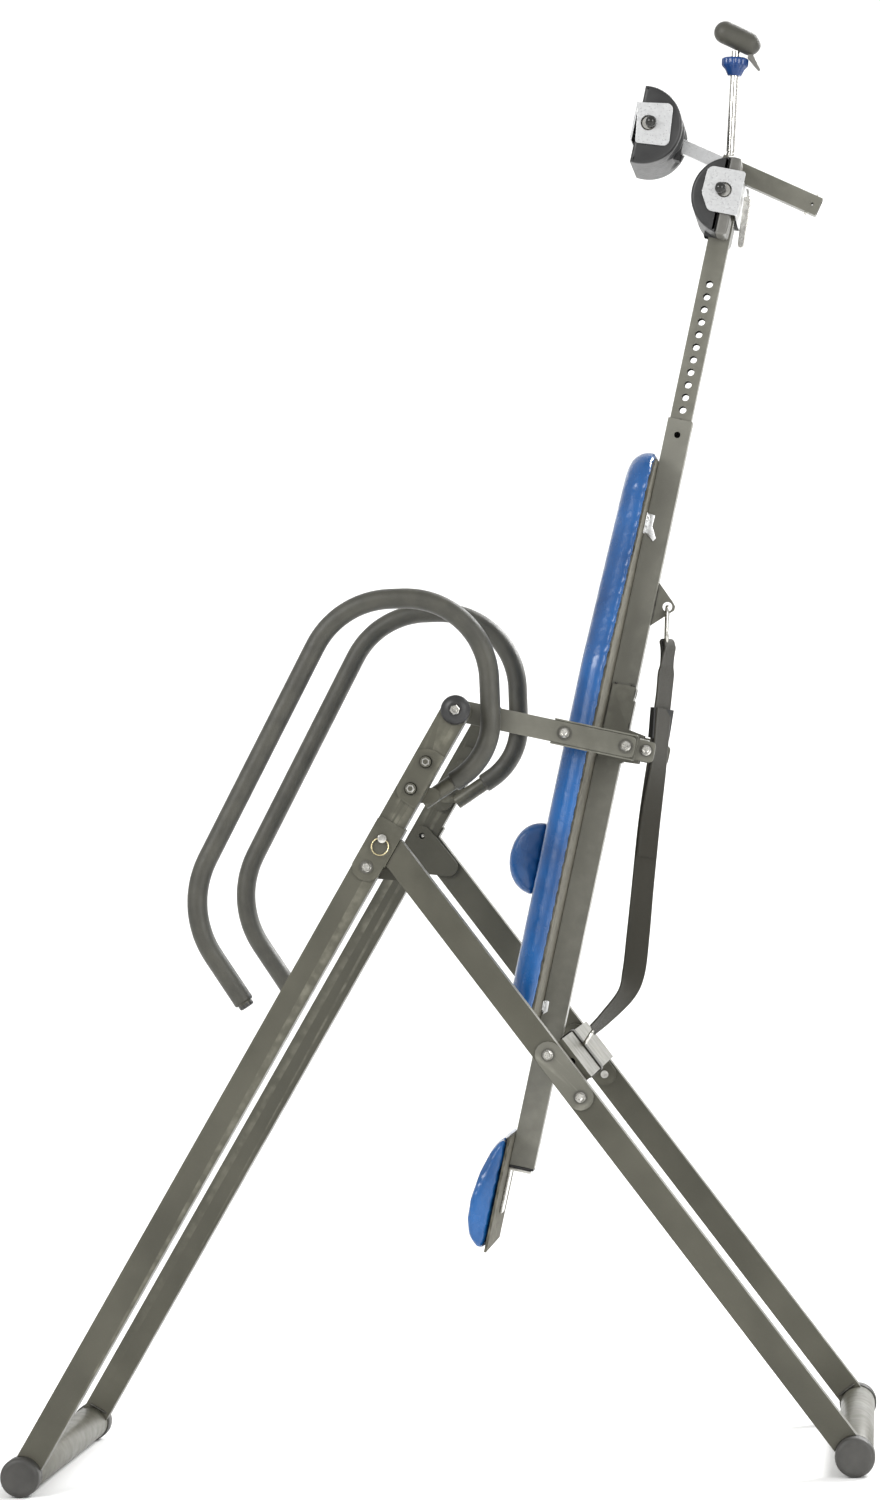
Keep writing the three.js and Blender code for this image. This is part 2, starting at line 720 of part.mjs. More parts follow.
// One moulded cup that cradles both ankles, notched round the tube and the slide bar.
function ankleCup(outline, [recessX, recessZ], notches, pin) {
  const recess = [-1, 1].map((side) => {
    const geometry = new THREE.CylinderGeometry(38, 38, 260, 28, 1);
    geometry.rotateX(Math.PI / 2);
    geometry.translate(recessX, side * 50, recessZ);
    return geometry;
  });
  return cut(
    slab(outline, -CUP_HALF_WIDTH, CUP_HALF_WIDTH),
    ...recess,
    ...notches,
    crossRod(...pin, 5 + GAP, -200, 200, 16),
  );
}

// A D-shaped outline: a circle cut off by a straight back at x = flat.
function cupOutline([x, z], radius, flat) {
  const toBack = Math.sign(flat - x) || 1;
  const half = Math.acos(((flat - x) * toBack) / radius);
  const steps = 40;
  return Array.from({ length: steps + 1 }, (_, i) => {
    const angle = half + ((2 * Math.PI - 2 * half) * i) / steps;
    return [x + toBack * radius * Math.cos(angle), z + radius * Math.sin(angle)];
  });
}

const CUP_RADIUS = 56.5;
const rearCupOutline = cupOutline([213.6, 801], CUP_RADIUS, BACK - 5.5);
const frontCupOutline = cupOutline([70, 877], CUP_RADIUS, 62);

// A U-shaped bracket: two cheeks with rounded corners and a web behind the cup.
function cupBracket(cheek, hole, webX0, webX1, z0, z1, pin) {
  const cheeks = [-1, 1].map((side) =>
    sideSlab(side, outlineRound(cheek), CUP_HALF_WIDTH + 1, CUP_HALF_WIDTH + 4, [hole]),
  );
  const web = box(webX0, webX1, -CUP_HALF_WIDTH - 4, CUP_HALF_WIDTH + 4, z0, z1);
  return [join(...cheeks, web), crossRod(...pin, 5 + GAP, -200, 200, 16)];
}

function rearCupBracket() {
  const [whole, drill] = cupBracket(
    [[184, 828, 10], [184, 800, 11], [192, 784, 10], [225, 834.5, 4], [226, 778, 3.5]],
    REAR_CHEEK_HOLE,
    224.3,
    227.3,
    777,
    829,
    REAR_CUP_PIN,
  );
  return cut(whole, drill);
}

// The slide bar carries the front bracket on its end.
function slideBar() {
  const bar = slab(barOutline(onCarrier(-154), onCarrier(84), 20), -10, 10);
  const [whole, drill] = cupBracket(
    [[61, 903, 4], [99, 904, 9], [103, 861, 9], [68, 853, 4]],
    FRONT_CHEEK_HOLE,
    55,
    58.3,
    851,
    907,
    FRONT_CUP_PIN,
  );
  const stem = slab(barOutline(onCarrier(-160), onCarrier(-150), 20), -10, 10);
  return cut(join(bar, whole, stem), drill);
}

// A cross pin with a ball knob at each end, outside the bracket.
function cupPin(pin) {
  const knob = [
    [CUP_HALF_WIDTH + GAP, 5],
    [CUP_HALF_WIDTH + 4.8, 5],
    [CUP_HALF_WIDTH + 6, 7],
    [CUP_HALF_WIDTH + 9, 8],
    [CUP_HALF_WIDTH + 13, 8],
    [CUP_HALF_WIDTH + 16.5, 5.5],
    [CUP_HALF_WIDTH + 18, 0],
  ];
  const mirrored = [...knob].reverse().map(([y, radius]) => [-y, radius]);
  return turnedAcross(1, ...pin, [...mirrored, ...knob], 16);
}

// A thin latch lever hanging behind the sliding tube.
const LEVER_PIVOT = [233.5, 812];
function lockLever() {
  return slab(outlineRound([[...LEVER_PIVOT, 5], [238, 745, 4.5]]), -6, 6);
}

// The pull handle's rod stands on the foot end, with a grip across it.
const ROD_FOOT = [196, 869];
const ROD_TOP = [171, 1027];
const GRIP_REACH = 19.5; // from the rod to each rounded end
const GRIP_RADIUS = 16.5;
const GRIP_LEAN = THREE.MathUtils.degToRad(-14);
function rodPoint(distance) {
  return along(ROD_FOOT, ROD_TOP, distance);
}
function turnedOn(from, to, profile, sides = 20) {
  const geometry = new THREE.LatheGeometry(profile.map(([h, r]) => new THREE.Vector2(r, h)), sides);
  geometry.rotateX(Math.PI / 2);
  geometry.rotateY(Math.atan2(to[0] - from[0], to[1] - from[1]));
  geometry.translate(from[0], 0, from[1]);
  return facingOut(geometry);
}
const ROD_LENGTH = Math.hypot(ROD_TOP[0] - ROD_FOOT[0], ROD_TOP[1] - ROD_FOOT[1]);
const handleRod = () =>
  turnedOn(ROD_FOOT, ROD_TOP, [[0, 0], [0, 6], [ROD_LENGTH - 8, 6], [ROD_LENGTH - 8, 0]]);
const handleCollar = () =>
  turnedOn(
    rodPoint(116),
    ROD_TOP,
    [[0, 6 + GAP], [0, 10], [9, 14], [14, 19], [24, 19.5], [26, 17], [26, 6 + GAP], [0, 6 + GAP]],
    24,
  );

function handleGrip() {
  const reach = GRIP_REACH;
  const end = (sign) => [
    ROD_TOP[0] + sign * reach * Math.cos(GRIP_LEAN),
    ROD_TOP[1] + 11 + sign * reach * Math.sin(GRIP_LEAN),
  ];
  const from = end(-1);
  const profile = [];
  for (let i = 0; i <= 6; i++) {
    const angle = (Math.PI / 2) * (i / 6);
    profile.push([-GRIP_RADIUS * Math.cos(angle), GRIP_RADIUS * Math.sin(angle)]);
  }
  for (let i = 0; i <= 6; i++) {
    const angle = (Math.PI / 2) * (i / 6);
    profile.push([2 * reach + GRIP_RADIUS * Math.sin(angle), GRIP_RADIUS * Math.cos(angle)]);
  }
  profile[0][1] = 0;
  profile[profile.length - 1][1] = 0;
  return cut(
    turnedOn(from, end(1), profile, 20),
    turnedOn(ROD_FOOT, ROD_TOP, [
      [ROD_LENGTH - 60, 0],
      [ROD_LENGTH - 60, 6 + GAP],
      [ROD_LENGTH - 7.5, 6 + GAP],
      [ROD_LENGTH - 7.5, 0],
    ]),
  );
}

// ---- tether --------------------------------------------------------------------------------
const HOOK_EYE = [243, 210]; // hole in the gusset
const HOOK_LENGTH = 52; // between the wire centres at its two ends
const HOOK_HALF_WIDTH = 11;
const HOOK_WIRE = 3;
const HOOK_DOWN = new THREE.Vector2(9, -49).normalize();
const hookPoint = (down, across) => [
  HOOK_EYE[0] + HOOK_DOWN.x * down,
  across,
  HOOK_EYE[1] + HOOK_DOWN.y * down,
];

// A round wire through points [x, y, z] that lie in the hook's plane.
function hookWire(points, radius, sides = 10) {
  const out = new THREE.Vector3(HOOK_DOWN.y, 0, -HOOK_DOWN.x);
  const rings = points.map((p, i) => {
    const before = new THREE.Vector3(...points[Math.max(i - 1, 0)]);
    const after = new THREE.Vector3(...points[Math.min(i + 1, points.length - 1)]);
    const direction = after.sub(before).normalize();
    const side = new THREE.Vector3().crossVectors(direction, out);
    return Array.from({ length: sides }, (_, k) => {
      const angle = (2 * Math.PI * k) / sides;
      const v = new THREE.Vector3(...p)
        .addScaledVector(side, radius * Math.cos(angle))
        .addScaledVector(out, radius * Math.sin(angle));
      return [v.x, v.y, v.z];
    });
  });
  return loft(rings);
}

function hookLoop() {
  const points = [];
  const top = HOOK_HALF_WIDTH;
  const bottom = HOOK_LENGTH - HOOK_HALF_WIDTH;
  points.push(hookPoint(top + 1, HOOK_HALF_WIDTH));
  for (let i = 0; i <= 8; i++) {
    const angle = (Math.PI * i) / 8;
    points.push(hookPoint(top - HOOK_HALF_WIDTH * Math.sin(angle), HOOK_HALF_WIDTH * Math.cos(angle)));
  }
  for (let i = 0; i <= 8; i++) {
    const angle = (Math.PI * i) / 8;
    points.push(hookPoint(bottom + HOOK_HALF_WIDTH * Math.sin(angle), -HOOK_HALF_WIDTH * Math.cos(angle)));
  }
  points.push(hookPoint(bottom - 2, HOOK_HALF_WIDTH));
  return hookWire(points, HOOK_WIRE);
}

const hookGate = () =>
  hookWire(
    [
      hookPoint(HOOK_HALF_WIDTH + 1.5, HOOK_HALF_WIDTH),
      hookPoint(HOOK_LENGTH - HOOK_HALF_WIDTH - 3, HOOK_HALF_WIDTH),
    ],
    HOOK_WIRE - 0.4,
  );

// The strap's centre line in bed coordinates, from the hook to the cross bar: [x, z, y, turn in degrees].
const STRAP_WIDTH = 36;
const STRAP_THICK = 2.6;
const STRAP = [
  [255.5, 152, 0, 56],
  [260, 124, 0, 49],
  [264.4, 86, -1, 56],
  [266.4, 64, -1.5, 48],
  [270.4, 20, -2.5, 56],
  [272.4, -2, -3, 48],
  [274.4, -24, -3.5, 41],
  [280, -78, -5.5, 34],
  [293.5, -201, -9.5, 27],
  [301, -265, -13, 19],
  [306, -317, -19, 27],
  [302, -351, -26, 46],
  [281, -389, -35, 62],
  [266, -411, -41, 70],
];
const BUCKLE_STATIONS = [STRAP[3], STRAP[4]]; // the strap is straight here

// A flat band along stations, each a section at right angles to the run.
function ribbon(stations, width, thickness) {
  const rings = stations.map(([x, z, y, turn], i) => {
    const before = stations[Math.max(i - 1, 0)];
    const after = stations[Math.min(i + 1, stations.length - 1)];
    const [dx, dz, dy] = [0, 1, 2].map((k) => after[k] - before[k]);
    const run = new THREE.Vector3(dx, dy, dz).normalize();
    const angle = THREE.MathUtils.degToRad(turn);
    const flat = new THREE.Vector3(-run.z, 0, run.x).normalize();
    const across = flat.multiplyScalar(Math.cos(angle)).add(new THREE.Vector3(0, Math.sin(angle), 0));
    across.addScaledVector(run, -across.dot(run)).normalize();
    const out = new THREE.Vector3().crossVectors(run, across);
    return [[1, 1], [-1, 1], [-1, -1], [1, -1]].map(([a, b]) => {
      const v = new THREE.Vector3(x, y, z)
        .addScaledVector(across, (a * width) / 2)
        .addScaledVector(out, (b * thickness) / 2);
      return [v.x, v.y, v.z];
    });
  });
  return loft(rings);
}

// The buckle is a flat sleeve that the strap runs through.
function strapBuckle() {
  const [from, to] = BUCKLE_STATIONS;
  const beyond = [from, to].map((station, i) => {
    const other = i ? from : to;
    return station.map((v, k) => (k < 3 ? v + (v - other[k]) * 0.1 : v));
  });
  return cut(ribbon([from, to], STRAP_WIDTH + 5, 8), ribbon(beyond, STRAP_WIDTH + 1.6, STRAP_THICK + 1));
}

// ---- assembly ------------------------------------------------------------------------------
addPart(table, "rear_floor_tube", "frame", floorTube(REAR_FOOT));
addPart(table, "front_floor_tube", "frame", floorTube(FRONT_FOOT));
for (const [label, side] of [["near", -1], ["far", 1]]) {
  addPart(table, `rear_leg_${label}`, "frame", rearLeg(side));
  addPart(table, `rear_foot_cap_${label}`, "rubber", footCap(side, REAR_FOOT));
  addPart(table, `handlebar_${label}`, "frame", handlebar(side));
  addPart(table, `hand_grip_${label}`, "foam", handGrip(side));
  addPart(table, `handle_clamp_${label}`, "frame", clampPlate(side));
  addPart(table, `hinge_bracket_${label}`, "frame", hingeBracket(side));
  addPart(
    table,
    `hinge_bolt_${label}`,
    "zinc",
    turnedAcross(side, ...HINGE_POINT, boltProfile(EAR_INNER, FRAME_HALF_WIDTH + 3.3), 12),
  );
  addPart(table, `lock_pin_${label}`, "zinc", lockPin(side));
  addPart(table, `front_leg_${label}`, "frame", frontLeg(side));
  addPart(table, `front_foot_cap_${label}`, "rubber", footCap(side, FRONT_FOOT));
  addPart(
    table,
    `splice_plate_${label}`,
    "frame",
    sideSlab(
      side,
      outlineRound(SPLICE_BOLTS.map((p) => [...p, 18.5])),
      FRAME_HALF_WIDTH + GAP,
      FRAME_HALF_WIDTH + 3.3,
      SPLICE_BOLTS.map((p) => [...p, BOLT_HOLE]),
    ),
  );
  addPart(table, `splice_bolts_${label}`, "zinc", spliceBolts(side));
  addPart(
    table,
    `pivot_pin_${label}`,
    "moulded",
    turnedAcross(side, ...PIVOT, [
      [222, 0], [222, 12], [ARM_INNER - GAP, 12], [ARM_INNER - GAP, 8],
      [ARM_OUTER + GAP, 8], [ARM_OUTER + GAP, 13], [LEG_INNER - GAP, 13], [LEG_INNER - GAP, 8],
      [FRAME_HALF_WIDTH + GAP, 8], [FRAME_HALF_WIDTH + GAP, 20.5], [FRAME_HALF_WIDTH + 3, 20.5],
      [FRAME_HALF_WIDTH + 8, 17.5], [FRAME_HALF_WIDTH + 11, 11], [FRAME_HALF_WIDTH + 11.5, 7.5],
      [FRAME_HALF_WIDTH + 16, 7], [FRAME_HALF_WIDTH + 16, 0],
    ], 24),
  );
  addPart(bed, `pivot_arm_${label}`, "bed", arm(side));
  addPart(bed, `arm_channel_${label}`, "bed", armChannel(side));
}
addPart(table, "cross_bar", "frame", crossBar());
addPart(bed, "cross_beam", "bed", crossBeam());
addPart(bed, "boom_tube", "bed", boomTube());
addPart(
  bed,
  "boom_end_cap",
  "moulded",
  join(
    box(FRONT, BACK, -18, 18, BOOM_BOTTOM - 3.5, BOOM_BOTTOM - GAP),
    box(FRONT + WALL + GAP, BACK - WALL - GAP, -15.7, 15.7, BOOM_BOTTOM - 1, BOOM_BOTTOM + 18),
  ),
);
addPart(bed, "back_board", "board", facePanel(bedOutline(BOARD_INSET), BOARD_FRONT, FRONT - GAP));
addPart(
  bed,
  "main_cushion",
  "vinyl",
  cut(
    facePanel(bedOutline(0), CUSHION_FRONT, FRONT - 1),
    facePanel(bedOutline(BOARD_INSET - GAP), BOARD_FRONT - GAP, BACK),
  ),
);
addPart(bed, "lumbar_pad", "vinyl", lumbarPad());
addPart(
  bed,
  "head_bracket",
  "zinc",
  join(
    box(FRONT + 0.2, FRONT + 4, -20, 20, -700, BOOM_BOTTOM - 4),
    box(FRONT + 0.2, BACK - 3, -20, 20, BOOM_BOTTOM - 8, BOOM_BOTTOM - 4),
  ),
);
addPart(bed, "head_board", "board", box(184, FRONT - GAP, -120, 120, -750, -582));
addPart(bed, "head_pillow", "vinyl", headPillow());
addPart(
  bed,
  "tether_gusset",
  "bed",
  slab(
    [[BACK + GAP, 178], [254, 207], [254, 213], [249, 219], [BACK + GAP, 242]],
    -2.5,
    2.5,
    [[...HOOK_EYE, 7]],
  ),
);
addPart(bed, "tether_hook", "zinc", hookLoop());
addPart(bed, "tether_hook_gate", "zinc", hookGate());
addPart(bed, "tether_strap", "webbing", ribbon(STRAP, STRAP_WIDTH, STRAP_THICK));
addPart(bed, "strap_buckle", "moulded", strapBuckle());
addPart(
  bed,
  "height_pin",
  "moulded",
  turnedAcross(1, BOOM_CENTRE, PIN_HEIGHT, [
    [16.3, 0],
    [16.3, 4],
    [18 + GAP, 4],
    [18 + GAP, 8],
    [26, 8],
    [26, 4.5],
    [30, 4.5],
    [30, 14],
    [42, 14],
    [45, 11],
    [45, 0],
  ]),
);
addPart(bed, "adjust_tube", "bed", adjustTube());
addPart(bed, "carrier_tube", "bed", carrierTube());
addPart(bed, "rear_cup_bracket", "silver", rearCupBracket());
addPart(
  bed,
  "rear_ankle_cup",
  "moulded",
  ankleCup(rearCupOutline, [131, 776], [
    box(183, 240, -17, 17, 700, 900),
    box(120, 240, -14.5, 14.5, 826, 900),
  ], REAR_CUP_PIN),
);
addPart(bed, "rear_cup_pin", "moulded", cupPin(REAR_CUP_PIN));
addPart(bed, "slide_bar", "silver", slideBar());
addPart(
  bed,
  "front_ankle_cup",
  "moulded",
  ankleCup(frontCupOutline, [150, 828], [box(40, 140, -13, 13, 850, 960)], FRONT_CUP_PIN),
);
addPart(bed, "front_cup_pin", "moulded", cupPin(FRONT_CUP_PIN));
addPart(bed, "ankle_lock_lever", "zinc", lockLever());
addPart(bed, "handle_rod", "zinc", handleRod());
addPart(bed, "handle_collar", "blue", handleCollar());
addPart(bed, "handle_grip", "foam", handleGrip());

export default table;
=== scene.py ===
import json
import math
import random
import bmesh
import bpy
from mathutils import Matrix, Vector


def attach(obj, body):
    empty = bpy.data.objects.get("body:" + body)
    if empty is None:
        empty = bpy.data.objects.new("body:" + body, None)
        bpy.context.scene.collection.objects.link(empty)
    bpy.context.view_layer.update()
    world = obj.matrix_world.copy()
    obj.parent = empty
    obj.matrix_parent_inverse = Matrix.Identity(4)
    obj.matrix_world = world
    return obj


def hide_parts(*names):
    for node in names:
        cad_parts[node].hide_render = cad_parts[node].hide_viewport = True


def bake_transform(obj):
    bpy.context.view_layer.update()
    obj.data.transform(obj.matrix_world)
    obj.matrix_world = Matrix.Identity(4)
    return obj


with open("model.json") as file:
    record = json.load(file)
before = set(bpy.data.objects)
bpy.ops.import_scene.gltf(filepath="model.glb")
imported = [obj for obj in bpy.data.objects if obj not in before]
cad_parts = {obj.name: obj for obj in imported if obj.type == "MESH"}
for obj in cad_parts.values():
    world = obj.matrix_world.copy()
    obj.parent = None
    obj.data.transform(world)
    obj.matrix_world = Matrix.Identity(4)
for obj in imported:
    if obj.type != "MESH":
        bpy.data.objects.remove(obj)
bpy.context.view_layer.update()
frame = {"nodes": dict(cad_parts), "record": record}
NODES = frame["nodes"]
BODY = {n: b for b, members in frame["record"]["behaviour"]["bodies"].items() for n in members}
scene = bpy.context.scene
MM = 0.001

# ---- places, in millimetres as in the CAD -----------------------------------------------------
PIVOT = Vector((68, 0, 1079))
LEAN = math.radians(14.16)
REAR_FOOT = Vector((-583, 0, 28))
FRONT_FOOT = Vector((583, 0, 28))
UP_REAR = (PIVOT - REAR_FOOT).normalized()
HINGE = REAR_FOOT + UP_REAR * math.hypot(-65 + 583, 865 - 28)
LOCK = REAR_FOOT + UP_REAR * math.hypot(-40 + 583, 903 - 28)
UP_FRONT = (LOCK - FRONT_FOOT).normalized()
CLAMP_BOLTS = [REAR_FOOT + UP_REAR * 1153, REAR_FOOT + UP_REAR * 1110]
SPLICE_BOLTS = [FRONT_FOOT + UP_FRONT * 696, FRONT_FOOT + UP_FRONT * 622]
ACROSS_FRONT = Vector((UP_FRONT.z, 0, -UP_FRONT.x))
CROSS_BAR = FRONT_FOOT + UP_FRONT * 668.5 + ACROSS_FRONT * 16.5
ROD_FOOT = (196, 869)
ROD_TOP = (171, 1027)
LEG_FACE = 305.4
SPLICE_FACE = 305.7
ARM_FACE = 240.2
BEAM_FACE = 228.4
GRIP_AT = 257
STRAP_WIDTH = 36
STRAP_THICKNESS = 2.6
REAR_CUP = (213.6, 801)
FRONT_CUP = (70, 877)
CUP_RADIUS = 56.2
CUP_HALF = 95
ANKLE_APART = 50
ANKLE_RADIUS = 38
REAR_PIN = (198, 808.5)
REAR_HOLE = (203.5, 807.5)
FRONT_PIN = (81, 882)
FRONT_HOLE = (77.3, 880.3)


def bed(n, t, y=0.0):
    """A point given across and along the boom, in the object's own axes."""
    c, s = math.cos(LEAN), math.sin(LEAN)
    return Vector((PIVOT.x + n * c + t * s, y, PIVOT.z - n * s + t * c))


BED = Matrix.Translation(PIVOT * MM) @ Matrix.Rotation(LEAN, 4, "Y")


# ---- camera ---------------------------------------------------------------------------------------
def make_camera():
    yaw, pitch, roll = math.radians(5.331), math.radians(0.818), math.radians(-2.123)
    ahead = Vector((-math.sin(yaw) * math.cos(pitch), math.cos(yaw) * math.cos(pitch), math.sin(pitch)))
    right = ahead.cross(Vector((0, 0, 1))).normalized()
    up = right.cross(ahead)
    turned_right = right * math.cos(roll) + up * math.sin(roll)
    turned_up = up * math.cos(roll) - right * math.sin(roll)
    data = bpy.data.cameras.new("camera")
    data.sensor_fit = "AUTO"
    data.sensor_width = 36
    data.lens = 115.2
    data.clip_start = 0.05
    data.clip_end = 60
    camera = bpy.data.objects.new("camera", data)
    turn = Matrix((turned_right, turned_up, -ahead)).transposed().to_4x4()
    camera.matrix_world = Matrix.Translation((0.66574, -6.96265, 0.92846)) @ turn
    scene.collection.objects.link(camera)
    scene.camera = camera


make_camera()


# ---- materials --------------------------------------------------------------------------------------
class Nodes:
    """A material being built: short calls for its nodes."""

    def __init__(self, name, metallic=0.0, specular=0.5, **sockets):
        self.material = bpy.data.materials.new(name)
        self.material.use_nodes = True
        self.tree = self.material.node_tree
        self.shader = self.tree.nodes["Principled BSDF"]
        self.shader.inputs["Metallic"].default_value = metallic
        self.shader.inputs["Specular IOR Level"].default_value = specular
        for key, value in sockets.items():
            self.shader.inputs[key.replace("_", " ")].default_value = value
        self.place = self.add("ShaderNodeTexCoord").outputs["Object"]
        self.height = None

    def add(self, kind, inputs=None, **settings):
        node = self.tree.nodes.new(kind)
        for key, value in settings.items():
            setattr(node, key, value)
        for key, value in (inputs or {}).items():
            if isinstance(value, bpy.types.NodeSocket):
                self.tree.links.new(value, node.inputs[key])
            else:
                node.inputs[key].default_value = value
        return node

    def noise(self, scale, detail=3, rough=0.5, stretch=None, place=None):
        where = place or self.place
        if stretch:
            where = self.add("ShaderNodeMapping", {"Vector": where, "Scale": stretch}).outputs["Vector"]
        return self.add(
            "ShaderNodeTexNoise",
            {"Vector": where, "Scale": scale, "Detail": detail, "Roughness": rough},
        ).outputs["Fac"]

    def ramp(self, value, low, high, first, last):
        """value from low..high mapped to first..last."""
        return self.add(
            "ShaderNodeMapRange",
            {"Value": value, "From Min": low, "From Max": high, "To Min": first, "To Max": last},
        ).outputs["Result"]

    def blend(self, factor, a, b, kind="MIX"):
        node = self.add("ShaderNodeMix", data_type="RGBA", blend_type=kind)
        for key, value in ((0, factor), (6, a), (7, b)):
            if isinstance(value, bpy.types.NodeSocket):
                self.tree.links.new(value, node.inputs[key])
            else:
                node.inputs[key].default_value = value
        return node.outputs[2]

    def maths(self, operation, a, b=0.0):
        node = self.add("ShaderNodeMath", operation=operation)
        for key, value in ((0, a), (1, b)):
            if isinstance(value, bpy.types.NodeSocket):
                self.tree.links.new(value, node.inputs[key])
            else:
                node.inputs[key].default_value = value
        return node.outputs[0]

    def painted_edge_highlight(self, low=0.53, high=0.62):
        """1 on sharp outer edges, 0 elsewhere: where a paler colour is painted as edge highlight."""
        return self.ramp(self.add("ShaderNodeNewGeometry").outputs["Pointiness"], low, high, 0.0, 1.0)

    def bump(self, value, strength, distance):
        inputs = {"Height": value, "Strength": strength, "Distance": distance}
        if self.height is not None:
            inputs["Normal"] = self.height
        self.height = self.add("ShaderNodeBump", inputs).outputs["Normal"]

    def finish(self, colour, roughness):
        self.tree.links.new(colour, self.shader.inputs["Base Color"])
        self.tree.links.new(roughness, self.shader.inputs["Roughness"])
        if self.height is not None:
            self.tree.links.new(self.height, self.shader.inputs["Normal"])
        return self.material


def rgb(*values):
    return (*values, 1.0)


def powder_coat(name, dark, light, rough=0.42):
    """Satin charcoal paint: fine orange peel, faint dust, and paler edges as painted highlight."""
    m = Nodes(name, metallic=0.15, specular=0.45)
    broad = m.noise(7, 3)
    speck = m.noise(900, 2)
    colour = m.blend(m.ramp(broad, 0.35, 0.65, 0.0, 1.0), dark, light)
    pale = rgb(*(min(1, v * 2.1 + 0.02) for v in light[:3]))
    colour = m.blend(m.maths("MULTIPLY", m.ramp(speck, 0.66, 0.74, 0.0, 1.0), 0.22), colour, pale)
    # painted highlight: a paler colour in patches along sharp edges
    colour = m.blend(m.maths("MULTIPLY", m.painted_edge_highlight(), m.ramp(m.noise(60, 4), 0.4, 0.7, 0.1, 0.7)), colour, pale)
    m.bump(m.noise(650, 2), 0.10, 0.0004)
    m.bump(speck, 0.05, 0.0002)
    return m.finish(colour, m.ramp(m.noise(38, 4), 0.3, 0.7, rough - 0.06, rough + 0.07))


def plated(name, dark, light, rough, grain=(1, 1, 1)):
    """Zinc or polished plate: bright metal with a faint drawn grain and duller patches."""
    m = Nodes(name, metallic=1.0)
    patches = m.noise(120, 4, 0.6)
    lines = m.noise(420, 2, 0.5, stretch=grain)
    colour = m.blend(m.ramp(patches, 0.3, 0.7, 0.0, 1.0), dark, light)
    m.bump(lines, 0.08, 0.0002)
    return m.finish(colour, m.ramp(lines, 0.3, 0.7, rough - 0.07, rough + 0.09))


def moulded(name, dark, light, rough, grain=1500, depth=0.12):
    """Injection-moulded plastic or rubber: fine spark texture, slight scuffs, and paler edges as painted
    highlight.
    """
    m = Nodes(name, specular=0.42)
    colour = m.blend(m.ramp(m.noise(22, 4), 0.35, 0.68, 0.0, 1.0), dark, light)
    pale = rgb(*(min(1, v * 1.8 + 0.01) for v in light[:3]))
    # painted highlight: a paler colour along sharp edges
    colour = m.blend(m.maths("MULTIPLY", m.painted_edge_highlight(), 0.35), colour, pale)
    m.bump(m.noise(grain, 2), depth, 0.0003)
    scuffs = m.noise(90, 5, 0.65, stretch=(1, 4, 1))
    return m.finish(colour, m.ramp(scuffs, 0.35, 0.7, rough - 0.06, rough + 0.1))


def foam(name, dark, light):
    """Closed-cell foam: tiny pits darkened with painted shade, and a dry sheen."""
    m = Nodes(name, specular=0.5, Sheen_Weight=0.15, Sheen_Roughness=0.4)
    cells = m.add(
        "ShaderNodeTexVoronoi", {"Vector": m.place, "Scale": 900.0, "Randomness": 1.0}, feature="F1"
    ).outputs["Distance"]
    colour = m.blend(m.ramp(m.noise(30, 4), 0.35, 0.65, 0.0, 1.0), dark, light)
    # painted shade: darker at the bottom of each cell's pit
    colour = m.blend(m.ramp(cells, 0.5, 0.15, 0.0, 0.45), colour, rgb(*(v * 0.45 for v in dark[:3])))
    m.bump(cells, 0.35, 0.0006)
    m.bump(m.noise(160, 3), 0.12, 0.0008)
    return m.finish(colour, m.ramp(m.noise(70, 3), 0.3, 0.7, 0.4, 0.55))


def vinyl(name, dark, light):
    """Upholstery vinyl: pebbled grain under a soft gloss, with painted shade making it deeper blue in the
    grain's creases.
    """
    m = Nodes(name, specular=0.5, Coat_Weight=0.3, Coat_Roughness=0.1)
    warp = m.noise(260, 2)
    where = m.add(
        "ShaderNodeMix", {0: 0.004}, data_type="VECTOR"
    )
    m.tree.links.new(m.place, where.inputs[4])
    m.tree.links.new(warp, where.inputs[5])
    grain = m.add(
        "ShaderNodeTexVoronoi", {"Vector": where.outputs[1], "Scale": 620.0, "Randomness": 0.95},
        feature="DISTANCE_TO_EDGE",
    ).outputs["Distance"]
    colour = m.blend(m.ramp(m.noise(9, 4), 0.32, 0.68, 0.0, 1.0), dark, light)
    # painted shade: darker blue in the grooves between the grain's pebbles
    colour = m.blend(m.ramp(grain, 0.09, 0.0, 0.0, 0.28), colour, rgb(*(v * 0.4 for v in dark[:3])))
    m.bump(m.ramp(grain, 0.0, 0.18, 0.0, 1.0), 0.14, 0.0004)
    m.bump(m.noise(34, 4, 0.62, stretch=(1, 1, 0.45)), 0.34, 0.004)
    return m.finish(colour, m.ramp(m.noise(45, 4), 0.3, 0.7, 0.18, 0.3))


def woven(name, dark, light, pitch=1.0):
    """Polyester webbing or cloth: rows of yarn over the piece's own UV, in millimetres."""
    m = Nodes(name, specular=0.25, Sheen_Weight=0.3, Sheen_Roughness=0.45)
    uv = m.add("ShaderNodeTexCoord").outputs["UV"]
    parts = m.add("ShaderNodeSeparateXYZ", {"Vector": uv}).outputs
    ribs = m.maths("SINE", m.maths("MULTIPLY", parts["Y"], 2 * math.pi / (1.7 * pitch)))
    rows = m.maths("SINE", m.maths("MULTIPLY", parts["X"], 2 * math.pi / (1.25 * pitch)))
    weave = m.maths("MULTIPLY", ribs, rows)
    fibre = m.noise(2.2, 3, place=uv)
    colour = m.blend(m.ramp(weave, -0.7, 0.9, 0.0, 1.0), dark, light)
    colour = m.blend(m.ramp(fibre, 0.4, 0.75, 0.0, 0.35), colour, rgb(*(min(1, v * 1.5) for v in light[:3])))
    m.bump(weave, 0.5, 0.0004)
    m.bump(ribs, 0.25, 0.0003)
    return m.finish(colour, m.ramp(fibre, 0.3, 0.7, 0.72, 0.9))


